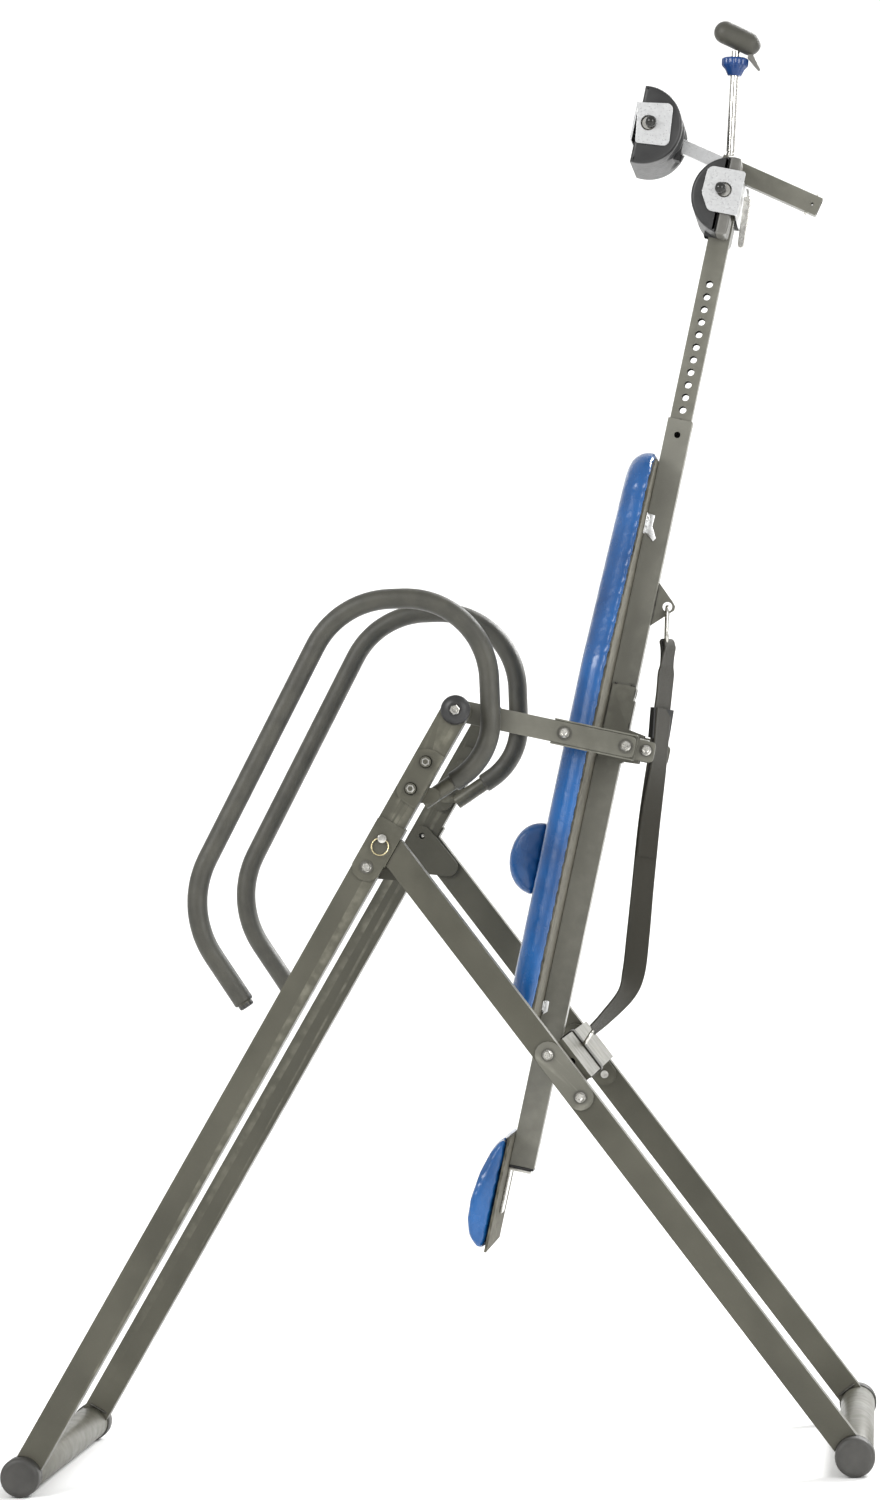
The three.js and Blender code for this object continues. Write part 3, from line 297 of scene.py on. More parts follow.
def fibreboard(name):
    """The backing board: mottled grey-brown with pressed fibres."""
    m = Nodes(name, specular=0.25)
    fibres = m.noise(160, 5, 0.7, stretch=(1, 1, 0.35))
    patches = m.noise(46, 4, 0.6)
    colour = m.blend(m.ramp(fibres, 0.35, 0.65, 0.0, 1.0), rgb(0.040, 0.038, 0.028), rgb(0.15, 0.14, 0.108))
    colour = m.blend(m.ramp(patches, 0.45, 0.7, 0.0, 0.5), colour, rgb(0.07, 0.067, 0.052))
    m.bump(fibres, 0.5, 0.0009)
    return m.finish(colour, m.ramp(patches, 0.3, 0.7, 0.7, 0.88))


FRAME = powder_coat("frame_paint", rgb(0.052, 0.050, 0.036), rgb(0.076, 0.073, 0.054))
BEDPAINT = powder_coat("bed_paint", rgb(0.094, 0.092, 0.074), rgb(0.134, 0.131, 0.108), 0.36)
BOOMPAINT = powder_coat("boom_paint", rgb(0.112, 0.110, 0.092), rgb(0.160, 0.157, 0.132), 0.36)
ZINC = plated("bright_zinc", rgb(0.40, 0.39, 0.36), rgb(0.70, 0.69, 0.65), 0.2)
BRASSY = plated("yellow_zinc", rgb(0.5, 0.42, 0.24), rgb(0.74, 0.66, 0.42), 0.27)
SILVER = plated("silver_plate", rgb(0.66, 0.665, 0.665), rgb(0.73, 0.735, 0.735), 0.33, (1, 9, 1))
FOAM = foam("grip_foam", rgb(0.034, 0.033, 0.025), rgb(0.052, 0.050, 0.038))
RUBBER = moulded("foot_rubber", rgb(0.035, 0.034, 0.031), rgb(0.06, 0.058, 0.053), 0.5, 1100)
PLASTIC = moulded("moulding", rgb(0.016, 0.016, 0.016), rgb(0.03, 0.03, 0.03), 0.42)
VINYL = vinyl("blue_vinyl", rgb(0.002, 0.042, 0.15), rgb(0.004, 0.095, 0.31))
BOARD = fibreboard("backing_board")
WEB = woven("webbing", rgb(0.016, 0.015, 0.011), rgb(0.044, 0.041, 0.031))
BLUE = moulded("blue_gloss", rgb(0.004, 0.022, 0.10), rgb(0.008, 0.045, 0.17), 0.14, 500, 0.03)
BALL = moulded("ball_gloss", rgb(0.012, 0.012, 0.011), rgb(0.022, 0.022, 0.02), 0.16, 900, 0.03)
SHELL = moulded("grey_shell", rgb(0.085, 0.083, 0.075), rgb(0.13, 0.127, 0.115), 0.36, 1300, 0.08)
WASHER = powder_coat("dark_washer", rgb(0.05, 0.048, 0.04), rgb(0.075, 0.072, 0.06), 0.35)
WELD = plated("painted_weld", rgb(0.07, 0.068, 0.06), rgb(0.12, 0.117, 0.105), 0.5)
SLOTS = {
    "frame_paint": FRAME, "bed_paint": BEDPAINT, "bright_zinc": ZINC, "silver_plate": SILVER,
    "grip_foam": FOAM, "foot_rubber": RUBBER, "moulding": PLASTIC, "blue_vinyl": VINYL,
    "board": BOARD, "webbing": WEB, "blue_gloss": BLUE,
}
NODE_SLOT = {s["node"]: s["material_slot"] for s in frame["record"]["subparts"]}


# ---- mesh helpers ---------------------------------------------------------------------------------
def piece(name, mesh, material, body=None, slot=None, replaced=()):
    """A finished piece of the object, riding on a body."""
    made = bpy.data.objects.new(name, mesh)
    scene.collection.objects.link(made)
    made.data.materials.clear()
    made.data.materials.append(material)
    if body:
        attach(made, body)
    if replaced:
        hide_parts(*replaced)
    return made


def smooth(mesh, degrees=35):
    mesh.polygons.foreach_set("use_smooth", [True] * len(mesh.polygons))
    mesh.set_sharp_from_angle(angle=math.radians(degrees))


def from_bmesh(name, bm, degrees=35):
    bmesh.ops.recalc_face_normals(bm, faces=bm.faces)
    mesh = bpy.data.meshes.new(name)
    bm.to_mesh(mesh)
    bm.free()
    smooth(mesh, degrees)
    return mesh


def applied(made):
    """The piece's mesh with its modifiers applied."""
    graph = bpy.context.evaluated_depsgraph_get()
    mesh = bpy.data.meshes.new_from_object(made.evaluated_get(graph))
    made.modifiers.clear()
    old = made.data
    made.data = mesh
    bpy.data.meshes.remove(old)
    return made


def softened(node, width, segments=2, material=None, flat=0.6):
    """A CAD node with its edges rounded, standing for the node."""
    bm = bmesh.new()
    bm.from_mesh(NODES[node].data)
    bmesh.ops.remove_doubles(bm, verts=bm.verts, dist=2e-6)
    bmesh.ops.dissolve_limit(bm, angle_limit=math.radians(flat), verts=bm.verts, edges=bm.edges)
    mesh = bpy.data.meshes.new(node + "_skin")
    bm.to_mesh(mesh)
    bm.free()
    slot = NODE_SLOT[node]
    made = piece(node + "_skin", mesh, material or SLOTS[slot], BODY[node], slot, [node])
    bevel = made.modifiers.new("bevel", "BEVEL")
    bevel.width = width
    bevel.segments = segments
    bevel.limit_method = "ANGLE"
    bevel.angle_limit = math.radians(38)
    bevel.use_clamp_overlap = True
    bevel.loop_slide = True
    made.data.polygons.foreach_set("use_smooth", [True] * len(made.data.polygons))
    weighted = made.modifiers.new("normals", "WEIGHTED_NORMAL")
    weighted.keep_sharp = True
    applied(made)
    return made


def skin(bm, rings):
    """Joins rings of the same count with faces and closes both ends."""
    for low, high in zip(rings, rings[1:]):
        for i in range(len(low)):
            j = (i + 1) % len(low)
            bm.faces.new((low[i], low[j], high[j], high[i]))
    bm.faces.new(rings[0])
    bm.faces.new(rings[-1])


def bed_loft(name, rings, degrees=35):
    """A closed form over rings of the same count, each of points (n, y, t) in bed mm."""
    bm = bmesh.new()
    skin(bm, [[bm.verts.new([v * MM for v in point]) for point in ring] for ring in rings])
    bmesh.ops.transform(bm, matrix=BED, verts=bm.verts)
    return from_bmesh(name, bm, degrees)


def lathe(name, profile, base, axis, steps=48):
    """A turned mesh: profile is [distance along the axis, radius] in mm from base."""
    bm = bmesh.new()
    rings = []
    for height, radius in profile:
        if radius < 1e-6:
            rings.append([bm.verts.new((0, 0, height * MM))])
            continue
        rings.append([
            bm.verts.new((
                radius * MM * math.cos(2 * math.pi * i / steps),
                radius * MM * math.sin(2 * math.pi * i / steps),
                height * MM,
            ))
            for i in range(steps)
        ])
    for low, high in zip(rings, rings[1:]):
        for i in range(steps):
            j = (i + 1) % steps
            corners = [low[i % len(low)], low[j % len(low)], high[j % len(high)], high[i % len(high)]]
            unique = list(dict.fromkeys(corners))
            if len(unique) > 2:
                bm.faces.new(unique)
    turn = Vector(axis).to_track_quat("Z", "Y").to_matrix().to_4x4()
    bmesh.ops.transform(bm, matrix=Matrix.Translation(Vector(base) * MM) @ turn, verts=bm.verts)
    return from_bmesh(name, bm, 32)


def sweep(name, path, radius, steps=24, out=Vector((0, 1, 0))):
    """A round tube along path, in mm; radius is a number or one value for each point."""
    points = [Vector(p) for p in path]
    radii = radius if isinstance(radius, list) else [radius] * len(points)
    bm = bmesh.new()
    rings = []
    for i, p in enumerate(points):
        run = (points[min(i + 1, len(points) - 1)] - points[max(i - 1, 0)]).normalized()
        side = run.cross(out).normalized()
        other = run.cross(side).normalized()
        rings.append([
            bm.verts.new(
                (p + (side * math.cos(a) + other * math.sin(a)) * radii[i]) * MM
            )
            for a in (2 * math.pi * k / steps for k in range(steps))
        ])
    skin(bm, rings)
    return from_bmesh(name, bm, 50)


def joined(name, meshes, degrees=35):
    bm = bmesh.new()
    for mesh in meshes:
        bm.from_mesh(mesh)
        bpy.data.meshes.remove(mesh)
    mesh = bpy.data.meshes.new(name)
    bm.to_mesh(mesh)
    bm.free()
    smooth(mesh, degrees)
    return mesh


def hexagon(name, base, axis, across, height, turn=0.0):
    """A hexagon head with chamfered corners and a shallow dish on its face."""
    bm = bmesh.new()
    radius = across / math.sqrt(3)
    rings = []
    corners = [turn + math.pi * k / 3 for k in range(6)]
    for h, r in ((0, radius), (height * 0.72, radius), (height, radius * 0.86), (height, radius * 0.56),
                 (height - 1.6, radius * 0.44)):
        rings.append([bm.verts.new((r * MM * math.cos(a), r * MM * math.sin(a), h * MM)) for a in corners])
    skin(bm, rings)
    way = Vector(axis).to_track_quat("Z", "Y").to_matrix().to_4x4()
    bmesh.ops.transform(bm, matrix=Matrix.Translation(Vector(base) * MM) @ way, verts=bm.verts)
    return from_bmesh(name, bm, 25)


def bolt_head(name, x, z, face, side, across=11.5, turn=0.3, height=4.6):
    """A flanged hexagon bolt's head, standing on a washer whose face is at |y| = face + 1.5."""
    axis = (0, side, 0)
    flange = lathe(name, [[1.4, 0], [1.4, 7.2], [2.0, 7.3], [3.2, 6.3], [3.2, 0]], (x, side * face, z), axis,
                   36)
    return [flange, hexagon(name, (x, side * (face + 2.9), z), axis, across, height, turn)]


def washers(name, places, side, body):
    """Dark washers under bolt heads: places are (x, z, face, radius)."""
    meshes = [
        lathe(name, [[0, 0], [0, r - 0.3], [0.3, r], [1.3, r], [1.6, r - 0.4], [1.6, 0]],
              (x, side * face, z), (0, side, 0), 36)
        for x, z, face, r in places
    ]
    return piece(name, joined(name, meshes, 28), WASHER, body)


def plate(name, outline, y0, y1, bevel=0.5, bedwise=True):
    """A flat plate from a side-view outline in mm, between two values of y, with rounded edges."""
    bm = bmesh.new()
    low = [bm.verts.new((a * MM, y0 * MM, b * MM)) for a, b in outline]
    high = [bm.verts.new((a * MM, y1 * MM, b * MM)) for a, b in outline]
    bm.faces.new(low)
    bm.faces.new(high)
    for i in range(len(low)):
        j = (i + 1) % len(low)
        bm.faces.new((low[i], low[j], high[j], high[i]))
    bmesh.ops.recalc_face_normals(bm, faces=bm.faces)
    sharp = [e for e in bm.edges if e.calc_face_angle(0) > math.radians(38)]
    bmesh.ops.bevel(bm, geom=sharp, offset=bevel * MM, segments=2, profile=0.5, affect="EDGES",
                    clamp_overlap=True)
    if bedwise:
        bmesh.ops.transform(bm, matrix=BED, verts=bm.verts)
    return from_bmesh(name, bm, 35)


def knob(name, profile, base, axis, flutes, depth, steps=96):
    """A turned knob whose parts wider than 12 mm carry finger flutes."""
    mesh = lathe(name, profile, (0, 0, 0), (0, 0, 1), steps)
    for v in mesh.vertices:
        radius = math.hypot(v.co.x, v.co.y)
        if radius > 12 * MM:
            shrink = 1 - depth * max(0.0, math.cos(flutes * math.atan2(v.co.y, v.co.x))) ** 2
            v.co.x *= shrink
            v.co.y *= shrink
    turn = Vector(axis).to_track_quat("Z", "Y").to_matrix().to_4x4()
    mesh.transform(Matrix.Translation(Vector(base) * MM) @ turn)
    return mesh


def board_clip(name, side, outline):
    """An angle clip that holds the board to the boom, with its two screws."""
    ts = [t for _, t in outline]
    top, low = max(ts), min(ts)
    y0, y1 = sorted((side * 18.4, side * 20.2))
    meshes = [plate(name, outline, y0, y1, 0.4)]
    a, b = sorted((side * 19.0, side * 46))
    meshes.append(plate(name, [(187.9, top - 1), (189.6, top - 1), (189.6, low + 8), (187.9, low + 8)], a, b,
                        0.4))
    mid = (top + low) / 2
    span = (top - low) / 4
    for t in (mid + span, mid - span * 0.4):
        base = bed(189.6, t, side * 34)
        way = bed(190.6, t, side * 34) - base
        meshes.append(lathe(name,
                            [[0, 0], [0, 4.0], [0.8, 4.0], [1.9, 2.9], [2.3, 1.4], [1.2, 1.2], [1.2, 0]],
                            base, way, 24))
    return piece(name, joined(name, meshes, 35), SILVER, "bed")


def weld_bead(name, start, end, radius, material, body, seed, lumps=None):
    """A run of weld between two points, as overlapping flattened ripples."""
    random.seed(seed)
    a, b = Vector(start), Vector(end)
    count = lumps or max(4, int((b - a).length / (radius * 0.75)))
    path, radii = [], []
    for i in range(count * 3 + 1):
        f = i / (count * 3)
        path.append(a.lerp(b, f))
        swell = 1.0 if i % 3 == 1 else 0.82
        radii.append(radius * swell * (1 + 0.07 * random.uniform(-1, 1)) * min(1.0, 0.35 + 6 * min(f, 1 - f)))
    out = Vector((0, 1, 0)) if abs((b - a).normalized().y) < 0.9 else Vector((1, 0, 0))
    return piece(name, sweep(name, path, radii, 10, out=out), material, body)


def bent_path(corners, step=5):
    """A side-view path through corners [x, z, bend radius], as points (x, z)."""
    path = [Vector(corners[0][:2])]
    for i in range(1, len(corners) - 1):
        corner = Vector(corners[i][:2])
        radius = corners[i][2]
        a = (Vector(corners[i - 1][:2]) - corner).normalized()
        b = (Vector(corners[i + 1][:2]) - corner).normalized()
        half = math.acos(max(-1, min(1, a.dot(b)))) / 2
        reach = radius / math.tan(half)
        centre = (a + b).normalized() * (radius / math.sin(half))
        start, end = a * reach - centre, b * reach - centre
        first = math.atan2(start.y, start.x)
        sweep_angle = (math.atan2(end.y, end.x) - first + math.pi) % (2 * math.pi) - math.pi
        steps = max(2, math.ceil(abs(math.degrees(sweep_angle)) / step))
        for s in range(steps + 1):
            angle = first + sweep_angle * s / steps
            path.append(corner + centre + Vector((math.cos(angle), math.sin(angle))) * radius)
    path.append(Vector(corners[-1][:2]))
    return path


def catmull(points, step):
    """Smooth points between stations (lists of numbers), about step apart along the first three."""
    made = []
    for i in range(len(points) - 1):
        p0, p1, p2, p3 = (points[max(0, min(len(points) - 1, i + k))] for k in (-1, 0, 1, 2))
        length = math.dist(p1[:3], p2[:3])
        count = max(1, round(length / step))
        for k in range(count):
            t = k / count
            made.append([
                0.5 * (2 * b + (c - a) * t + (2 * a - 5 * b + 4 * c - d) * t * t
                       + (3 * b - a - 3 * c + d) * t ** 3)
                for a, b, c, d in zip(p0, p1, p2, p3)
            ])
    made.append(list(points[-1]))
    return made


# ---- padded pieces ------------------------------------------------------------------------------
def inflate(made, voxel, pressure, cap, subdivide=True, held=None):
    """Blows a closed form up as cloth, with each point's travel capped, and applies the result."""
    remesh = made.modifiers.new("remesh", "REMESH")
    remesh.mode = "VOXEL"
    remesh.voxel_size = voxel
    applied(made)
    start = [v.co.copy() for v in made.data.vertices]
    if held:
        group = made.vertex_groups.new(name="held")
        for v in made.data.vertices:
            w = held(v.co)
            if w > 0:
                group.add([v.index], w, "REPLACE")
    cloth = made.modifiers.new("cloth", "CLOTH")
    cloth.settings.use_pressure = True
    cloth.settings.uniform_pressure_force = pressure
    cloth.settings.effector_weights.gravity = 0
    cloth.settings.quality = 5
    cloth.settings.mass = 0.3
    if held:
        cloth.settings.vertex_group_mass = "held"
    for f in range(1, 21):
        scene.frame_set(f)
    applied(made)
    for v, origin in zip(made.data.vertices, start):
        move = v.co - origin
        if move.length > cap:
            v.co = origin + move.normalized() * cap
    scene.frame_set(1)
    if subdivide:
        sub = made.modifiers.new("sub", "SUBSURF")
        sub.levels = sub.render_levels = 1
        applied(made)
    made.data.polygons.foreach_set("use_smooth", [True] * len(made.data.polygons))
    return made


def hull_outline(circles, steps):
    """The convex outline round circles (y, t, radius), as an even ring of points."""
    points = sorted(
        (y + r * math.cos(2 * math.pi * i / steps), t + r * math.sin(2 * math.pi * i / steps))
        for y, t, r in circles for i in range(steps)
    )

    def half(row):
        kept = []
        for p in row:
            while len(kept) > 1 and (
                (kept[-1][0] - kept[-2][0]) * (p[1] - kept[-2][1])
                - (kept[-1][1] - kept[-2][1]) * (p[0] - kept[-2][0])
            ) <= 1e-6:
                kept.pop()
            kept.append(p)
        return kept[:-1]

    return half(points) + half(points[::-1])


def even_ring(points, spacing):
    """Points at an even spacing along a closed outline."""
    closed = points + [points[0]]
    lengths = [math.dist(a, b) for a, b in zip(closed, closed[1:])]
    total = sum(lengths)
    count = round(total / spacing)
    ring, i, gone = [], 0, 0.0
    for k in range(count):
        target = total * k / count
        while gone + lengths[i] < target:
            gone += lengths[i]
            i += 1
        f = (target - gone) / lengths[i]
        ring.append(tuple(a + (b - a) * f for a, b in zip(closed[i], closed[i + 1])))
    return ring


def bed_outline(inset, steps=48):
    """The cushion's outline in the bed's face, as the CAD has it, inset all round."""
    return hull_outline([
        (150, -385, 55 - inset), (-150, -385, 55 - inset), (135, 100, 70 - inset), (-135, 100, 70 - inset),
        (45, 356, 70 - inset), (-45, 356, 70 - inset),
    ], steps)


def finish_pad(made, node):
    """A pad in its vinyl, riding on the bed and standing for its CAD node."""
    made.data.materials.clear()
    made.data.materials.append(VINYL)
    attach(made, "bed")
    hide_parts(node)


def seam_dent(made, lines, depth, width):
    """Presses sewn channels into the cushion's face along lines of (y, t) points in bed mm."""
    back = BED.inverted()
    normal = BED.to_3x3() @ Vector((1, 0, 0))
    for v in made.data.vertices:
        p = back @ v.co
        if p.x > 0.172:
            continue
        y, t = p.y * 1000, p.z * 1000
        nearest = min(
            (distance_to_run(y, t, a, b) for line in lines for a, b in zip(line, line[1:])), default=1e9
        )
        if nearest < width * 3:
            v.co += normal * (depth * MM * math.exp(-((nearest / width) ** 2)))


def clear_of_board(made, outline, n):
    """Keeps the cushion's back out of the recess that its board fills."""
    back = BED.inverted()
    edges = list(zip(outline, outline[1:] + outline[:1]))
    for v in made.data.vertices:
        p = back @ v.co
        y, t = p.y * 1000, p.z * 1000
        if p.x * 1000 > n and all(
            (b[0] - a[0]) * (t - a[1]) - (b[1] - a[1]) * (y - a[0]) > 0 for a, b in edges
        ):
            p.x = n * MM
            v.co = BED @ p
        elif p.x > 0.1873:
            p.x = 0.1873
            v.co = BED @ p


def distance_to_run(y, t, a, b):
    dy, dt = b[0] - a[0], b[1] - a[1]
    f = max(0.0, min(1.0, ((y - a[0]) * dy + (t - a[1]) * dt) / (dy * dy + dt * dt)))
    return math.hypot(y - a[0] - f * dy, t - a[1] - f * dt)


def main_cushion():
    layers = []
    spacing = 12
    count = len(even_ring(bed_outline(0), spacing))

    def ring(inset):
        outline = bed_outline(inset)
        total = sum(math.dist(a, b) for a, b in zip(outline, outline[1:] + outline[:1]))
        return even_ring(outline, total / count)

    pocket = bed_outline(11.6)
    for n, inset in ((181, 24), (181, 12), (186.6, 11.2), (186.6, 2.5), (184, 0.6), (178, 0.6), (170, 3),
                     (163, 8),
                     (157, 16), (153.6, 28), (152.4, 45)):
        layers.append([(n, y, t) for y, t in ring(inset)[:count]])
    made = bpy.data.objects.new("cushion", bed_loft("cushion", layers))
    scene.collection.objects.link(made)
    inflate(made, 0.005, 4.0, 0.0045)
    clear_of_board(made, pocket, 180.4)
    seam_dent(made, CUSHION_SEAMS, 3.4, 5.0)
    finish_pad(made, "main_cushion")


CUSHION_SEAMS = [
    [(-72, -395), (-72, 60), (-48, 300)],
    [(72, -395), (72, 60), (48, 300)],
    [(-72, -300), (72, -300)], [(-72, -60), (72, -60)], [(-72, 60), (72, 60)], [(-60, 190), (60, 190)],
]


def lumbar_bolster():
    """A half-round bolster lying across the cushion."""
    halves = [(117, 0.80), (114, 0.92), (106, 0.965), (60, 0.98)]
    ends = [(-y, scale) for y, scale in halves] + [(0, 0.985)] + halves[::-1]
    steps = 28
    angles = [math.pi / 2 + math.pi * i / (steps - 1) for i in range(steps)]
    rings = [
        [(146.6 + 44 * scale * math.cos(a), y, -184 + 56 * scale * math.sin(a)) for a in angles]
        for y, scale in ends
    ]
    made = bpy.data.objects.new("lumbar_bolster", bed_loft("lumbar_bolster", rings))
    scene.collection.objects.link(made)
    inflate(made, 0.005, 4.0, 0.003)
    press_flat(made, 146.9, above=True)
    finish_pad(made, "lumbar_pad")


def press_flat(made, n, above):
    """Keeps a pad from passing the plane it rests on, n in bed mm."""
    back = BED.inverted()
    for v in made.data.vertices:
        p = back @ v.co
        if (p.x * 1000 > n) == above:
            p.x = n * MM
            v.co = BED @ p


def head_pad():
    outline = [(183, -580), (183, -750), (174, -750), (160.5, -734), (154, -711), (152.5, -680),
               (157.5, -641), (167, -607),
               (177, -582)]
    centre = Vector((172, -672))
    halves = [(126, 0.86), (121, 0.95), (100, 0.99), (40, 1.0)]
    rings = []
    for y, scale in [(-y, scale) for y, scale in halves] + halves[::-1]:
        places = [centre + (Vector(corner) - centre) * scale for corner in outline]
        rings.append([(p.x, y, p.y) for p in places])
    made = bpy.data.objects.new("head_pad", bed_loft("head_pad", rings))
    scene.collection.objects.link(made)
    inflate(made, 0.005, 4.0, 0.004)
    press_flat(made, 183.4, above=True)
    finish_pad(made, "head_pillow")


# ---- frame -----------------------------------------------------------------------------------------
SIDES = (("near", -1), ("far", 1))
HANDLE_CORNERS = [(14, 952, 0), (113, 1014, 95), (113, 1239.5, 118), (-96, 1239.5, 122), (-333, 814.5, 135),
                  (-246, 674.5, 0)]


def arc_trim(path, from_start, from_end):
    """path without its first and last stretches, in mm, evenly spaced."""
    lengths = [0.0]
    for a, b in zip(path, path[1:]):
        lengths.append(lengths[-1] + (b - a).length)
    total = lengths[-1]
    count = round((total - from_start - from_end) / 7)
    made = []
    i = 0
    for k in range(count + 1):
        target = from_start + (total - from_start - from_end) * k / count
        while i < len(path) - 2 and lengths[i + 1] < target:
            i += 1
        f = (target - lengths[i]) / (lengths[i + 1] - lengths[i])
        made.append(path[i].lerp(path[i + 1], f))
    return made


def handlebars():
    """Foam grips on the two handlebars, and the caps in the bars' open ends."""
    path = bent_path(HANDLE_CORNERS)
    for label, side in SIDES:
        y = side * GRIP_AT
        grip = arc_trim(path, 50, 6)
        points = [Vector((p.x, y, p.y)) for p in grip]
        radii = [14.3] * len(points)
        first = (points[1] - points[0]).normalized()
        last = (points[-1] - points[-2]).normalized()
        begin = [points[0] + first * d for d in (0.0, 0.8, 2.4, 4.5)]
        end = [points[-1] - last * d for d in (4.5, 2.4, 0.8, 0.0)]
        body_points = begin + points[1:-1] + end
        body_radii = [12.2, 13.6, 14.2, 14.4] + radii[1:-1] + [14.4, 14.2, 13.6, 12.2]
        piece(f"foam_grip_{label}", sweep("grip", body_points, body_radii, 36), FOAM, "rear_frame",
              "grip_foam",
              [f"hand_grip_{label}"])
        softened(f"handlebar_{label}", 0.0008, 2)
        tip = points[-1] + last * 5.0
        piece(f"bar_end_cap_{label}",
              lathe("cap", [[-3, 0], [-3, 10.9], [0.6, 10.9], [1.6, 10.4], [2.4, 8.5], [2.7, 0]], tip, last,
                    36),
              PLASTIC, "rear_frame")


def frame_fixings():
    for label, side in SIDES:
        meshes = []
        for i, p in enumerate(CLAMP_BOLTS):
            meshes += bolt_head("clamp_bolt", p.x, p.z, LEG_FACE, side, turn=0.4 + 0.5 * i)
        piece(f"clamp_bolt_heads_{label}", joined("bolts", meshes, 28), ZINC, "rear_frame", "bright_zinc")
        washers(f"rear_washers_{label}", [(p.x, p.z, LEG_FACE, 9.3) for p in CLAMP_BOLTS + [HINGE]], side,
                "rear_frame")
        washers(f"splice_washers_{label}", [(p.x, p.z, SPLICE_FACE, 9.3) for p in SPLICE_BOLTS], side,
                "front_frame")
        meshes = bolt_head("hinge", HINGE.x, HINGE.z, LEG_FACE, side, turn=0.1)
        meshes.append(lathe("shaft", [[-40, 0], [-40, 7.4], [-34, 7.4], [-34, 4.9], [1, 4.9], [1, 0]],
                            (HINGE.x, side * LEG_FACE, HINGE.z), (0, side, 0), 24))
        piece(f"hinge_bolt_head_{label}", joined("bolts", meshes, 28), ZINC, "rear_frame", "bright_zinc",
              [f"hinge_bolt_{label}"])
        meshes = []
        for i, p in enumerate(SPLICE_BOLTS):
            meshes += bolt_head("splice", p.x, p.z, SPLICE_FACE, side, turn=0.2 + 0.45 * i)
            meshes.append(lathe("shaft",
                                [[-45.2, 0], [-45.2, 5.9], [-41.6, 5.9], [-41.6, 4.9], [1, 4.9], [1, 0]],
                                (p.x, side * SPLICE_FACE, p.z), (0, side, 0), 24))
        piece(f"splice_bolt_heads_{label}", joined("bolts", meshes, 28), ZINC, "front_frame", "bright_zinc",
              [f"splice_bolts_{label}"])
        pull_pin(label, side)
        pivot_cap(label, side)
        for foot, body in ((REAR_FOOT, "rear_frame"), (FRONT_FOOT, "front_frame")):
            foot_cap(label, side, foot, body)
        for node in (f"rear_leg_{label}", f"front_leg_{label}"):
            softened(node, 0.0026, 3)
        for node in (f"handle_clamp_{label}", f"hinge_bracket_{label}"):
            softened(node, 0.0010, 2)
        softened(f"splice_plate_{label}", 0.0014, 3, BEDPAINT)


def pull_pin(label, side):
    face = 302 + 3.6
    pin = lathe("pin", [[-32.6, 0], [-31.6, 3.6], [-29.6, 4.5], [0, 4.5], [0, 6.1], [0.5, 6.6], [4.6, 6.6],
                        [5.6, 6.0],
                        [6.1, 4.0], [6.1, 0]], (LOCK.x, side * face, LOCK.z), (0, side, 0), 36)
    piece(f"pull_pin_{label}", pin, ZINC, f"lock_pin_{label}", "bright_zinc", [f"lock_pin_{label}"])
    centre = Vector((LOCK.x - 3.5, side * (face + 3.4), LOCK.z - 11))
    tilt = side * 0.15
    path = []
    turns = 1.92
    for i in range(73):
        a = 0.5 * math.pi + 2 * math.pi * turns * i / 72
        lift = side * (1.15 * (i / 72 - 0.5))
        flat = Vector((math.cos(a) * 12, 0, math.sin(a) * 12))
        path.append(centre + Vector((flat.x, flat.z * math.sin(-tilt) + lift, flat.z * math.cos(tilt))))
    piece(f"split_ring_{label}", sweep("ring", path, 0.95, 12), BRASSY, f"lock_pin_{label}")


def pivot_cap(label, side):
    base = (PIVOT.x, 0, PIVOT.z)
    profile = [[222, 0], [222, 11.6], [222.6, 12], [231.2, 12], [231.7, 11.6], [231.7, 8], [240.3, 8],
               [240.3, 12.4],
               [240.9, 13], [271.1, 13], [271.7, 12.4], [271.7, 8], [302.3, 8], [302.3, 20.2], [302.9, 20.8],
               [305, 20.8],
               [308, 19.4], [311, 16.4], [313, 12.6], [313.6, 10.2], [313.0, 9.0], [313.0, 0]]
    piece(f"pivot_cap_{label}", lathe("cap", profile, base, (0, side, 0), 56), PLASTIC, "pivot_pins",
          "moulding",
          [f"pivot_pin_{label}"])
    head = hexagon("head", (PIVOT.x, side * 312.6, PIVOT.z), (0, side, 0), 12.6, 4.6, 0.15)
    piece(f"pivot_bolt_{label}", head, ZINC, "pivot_pins")


def foot_cap(label, side, foot, body):
    name = "rear" if foot.x < 0 else "front"
    profile = [[288, 25.7], [288, 26.6], [288.6, 27.2], [290, 27.9], [292.4, 27.9], [292.9, 27.4],
               [293.8, 27.4],
               [294.3, 27.9], [297, 27.9], [297.5, 27.4], [298.4, 27.4], [298.9, 27.9], [316.5, 27.9],
               [319.2, 27.0],
               [321.2, 25.0], [322.2, 22.6], [322.4, 20.4], [321.9, 18.6], [321.7, 0]]
    mesh = lathe("foot", profile, (foot.x, 0, foot.z), (0, side, 0), 72)
    piece(f"{name}_foot_{label}", mesh, RUBBER, body, "foot_rubber", [f"{name}_foot_cap_{label}"])


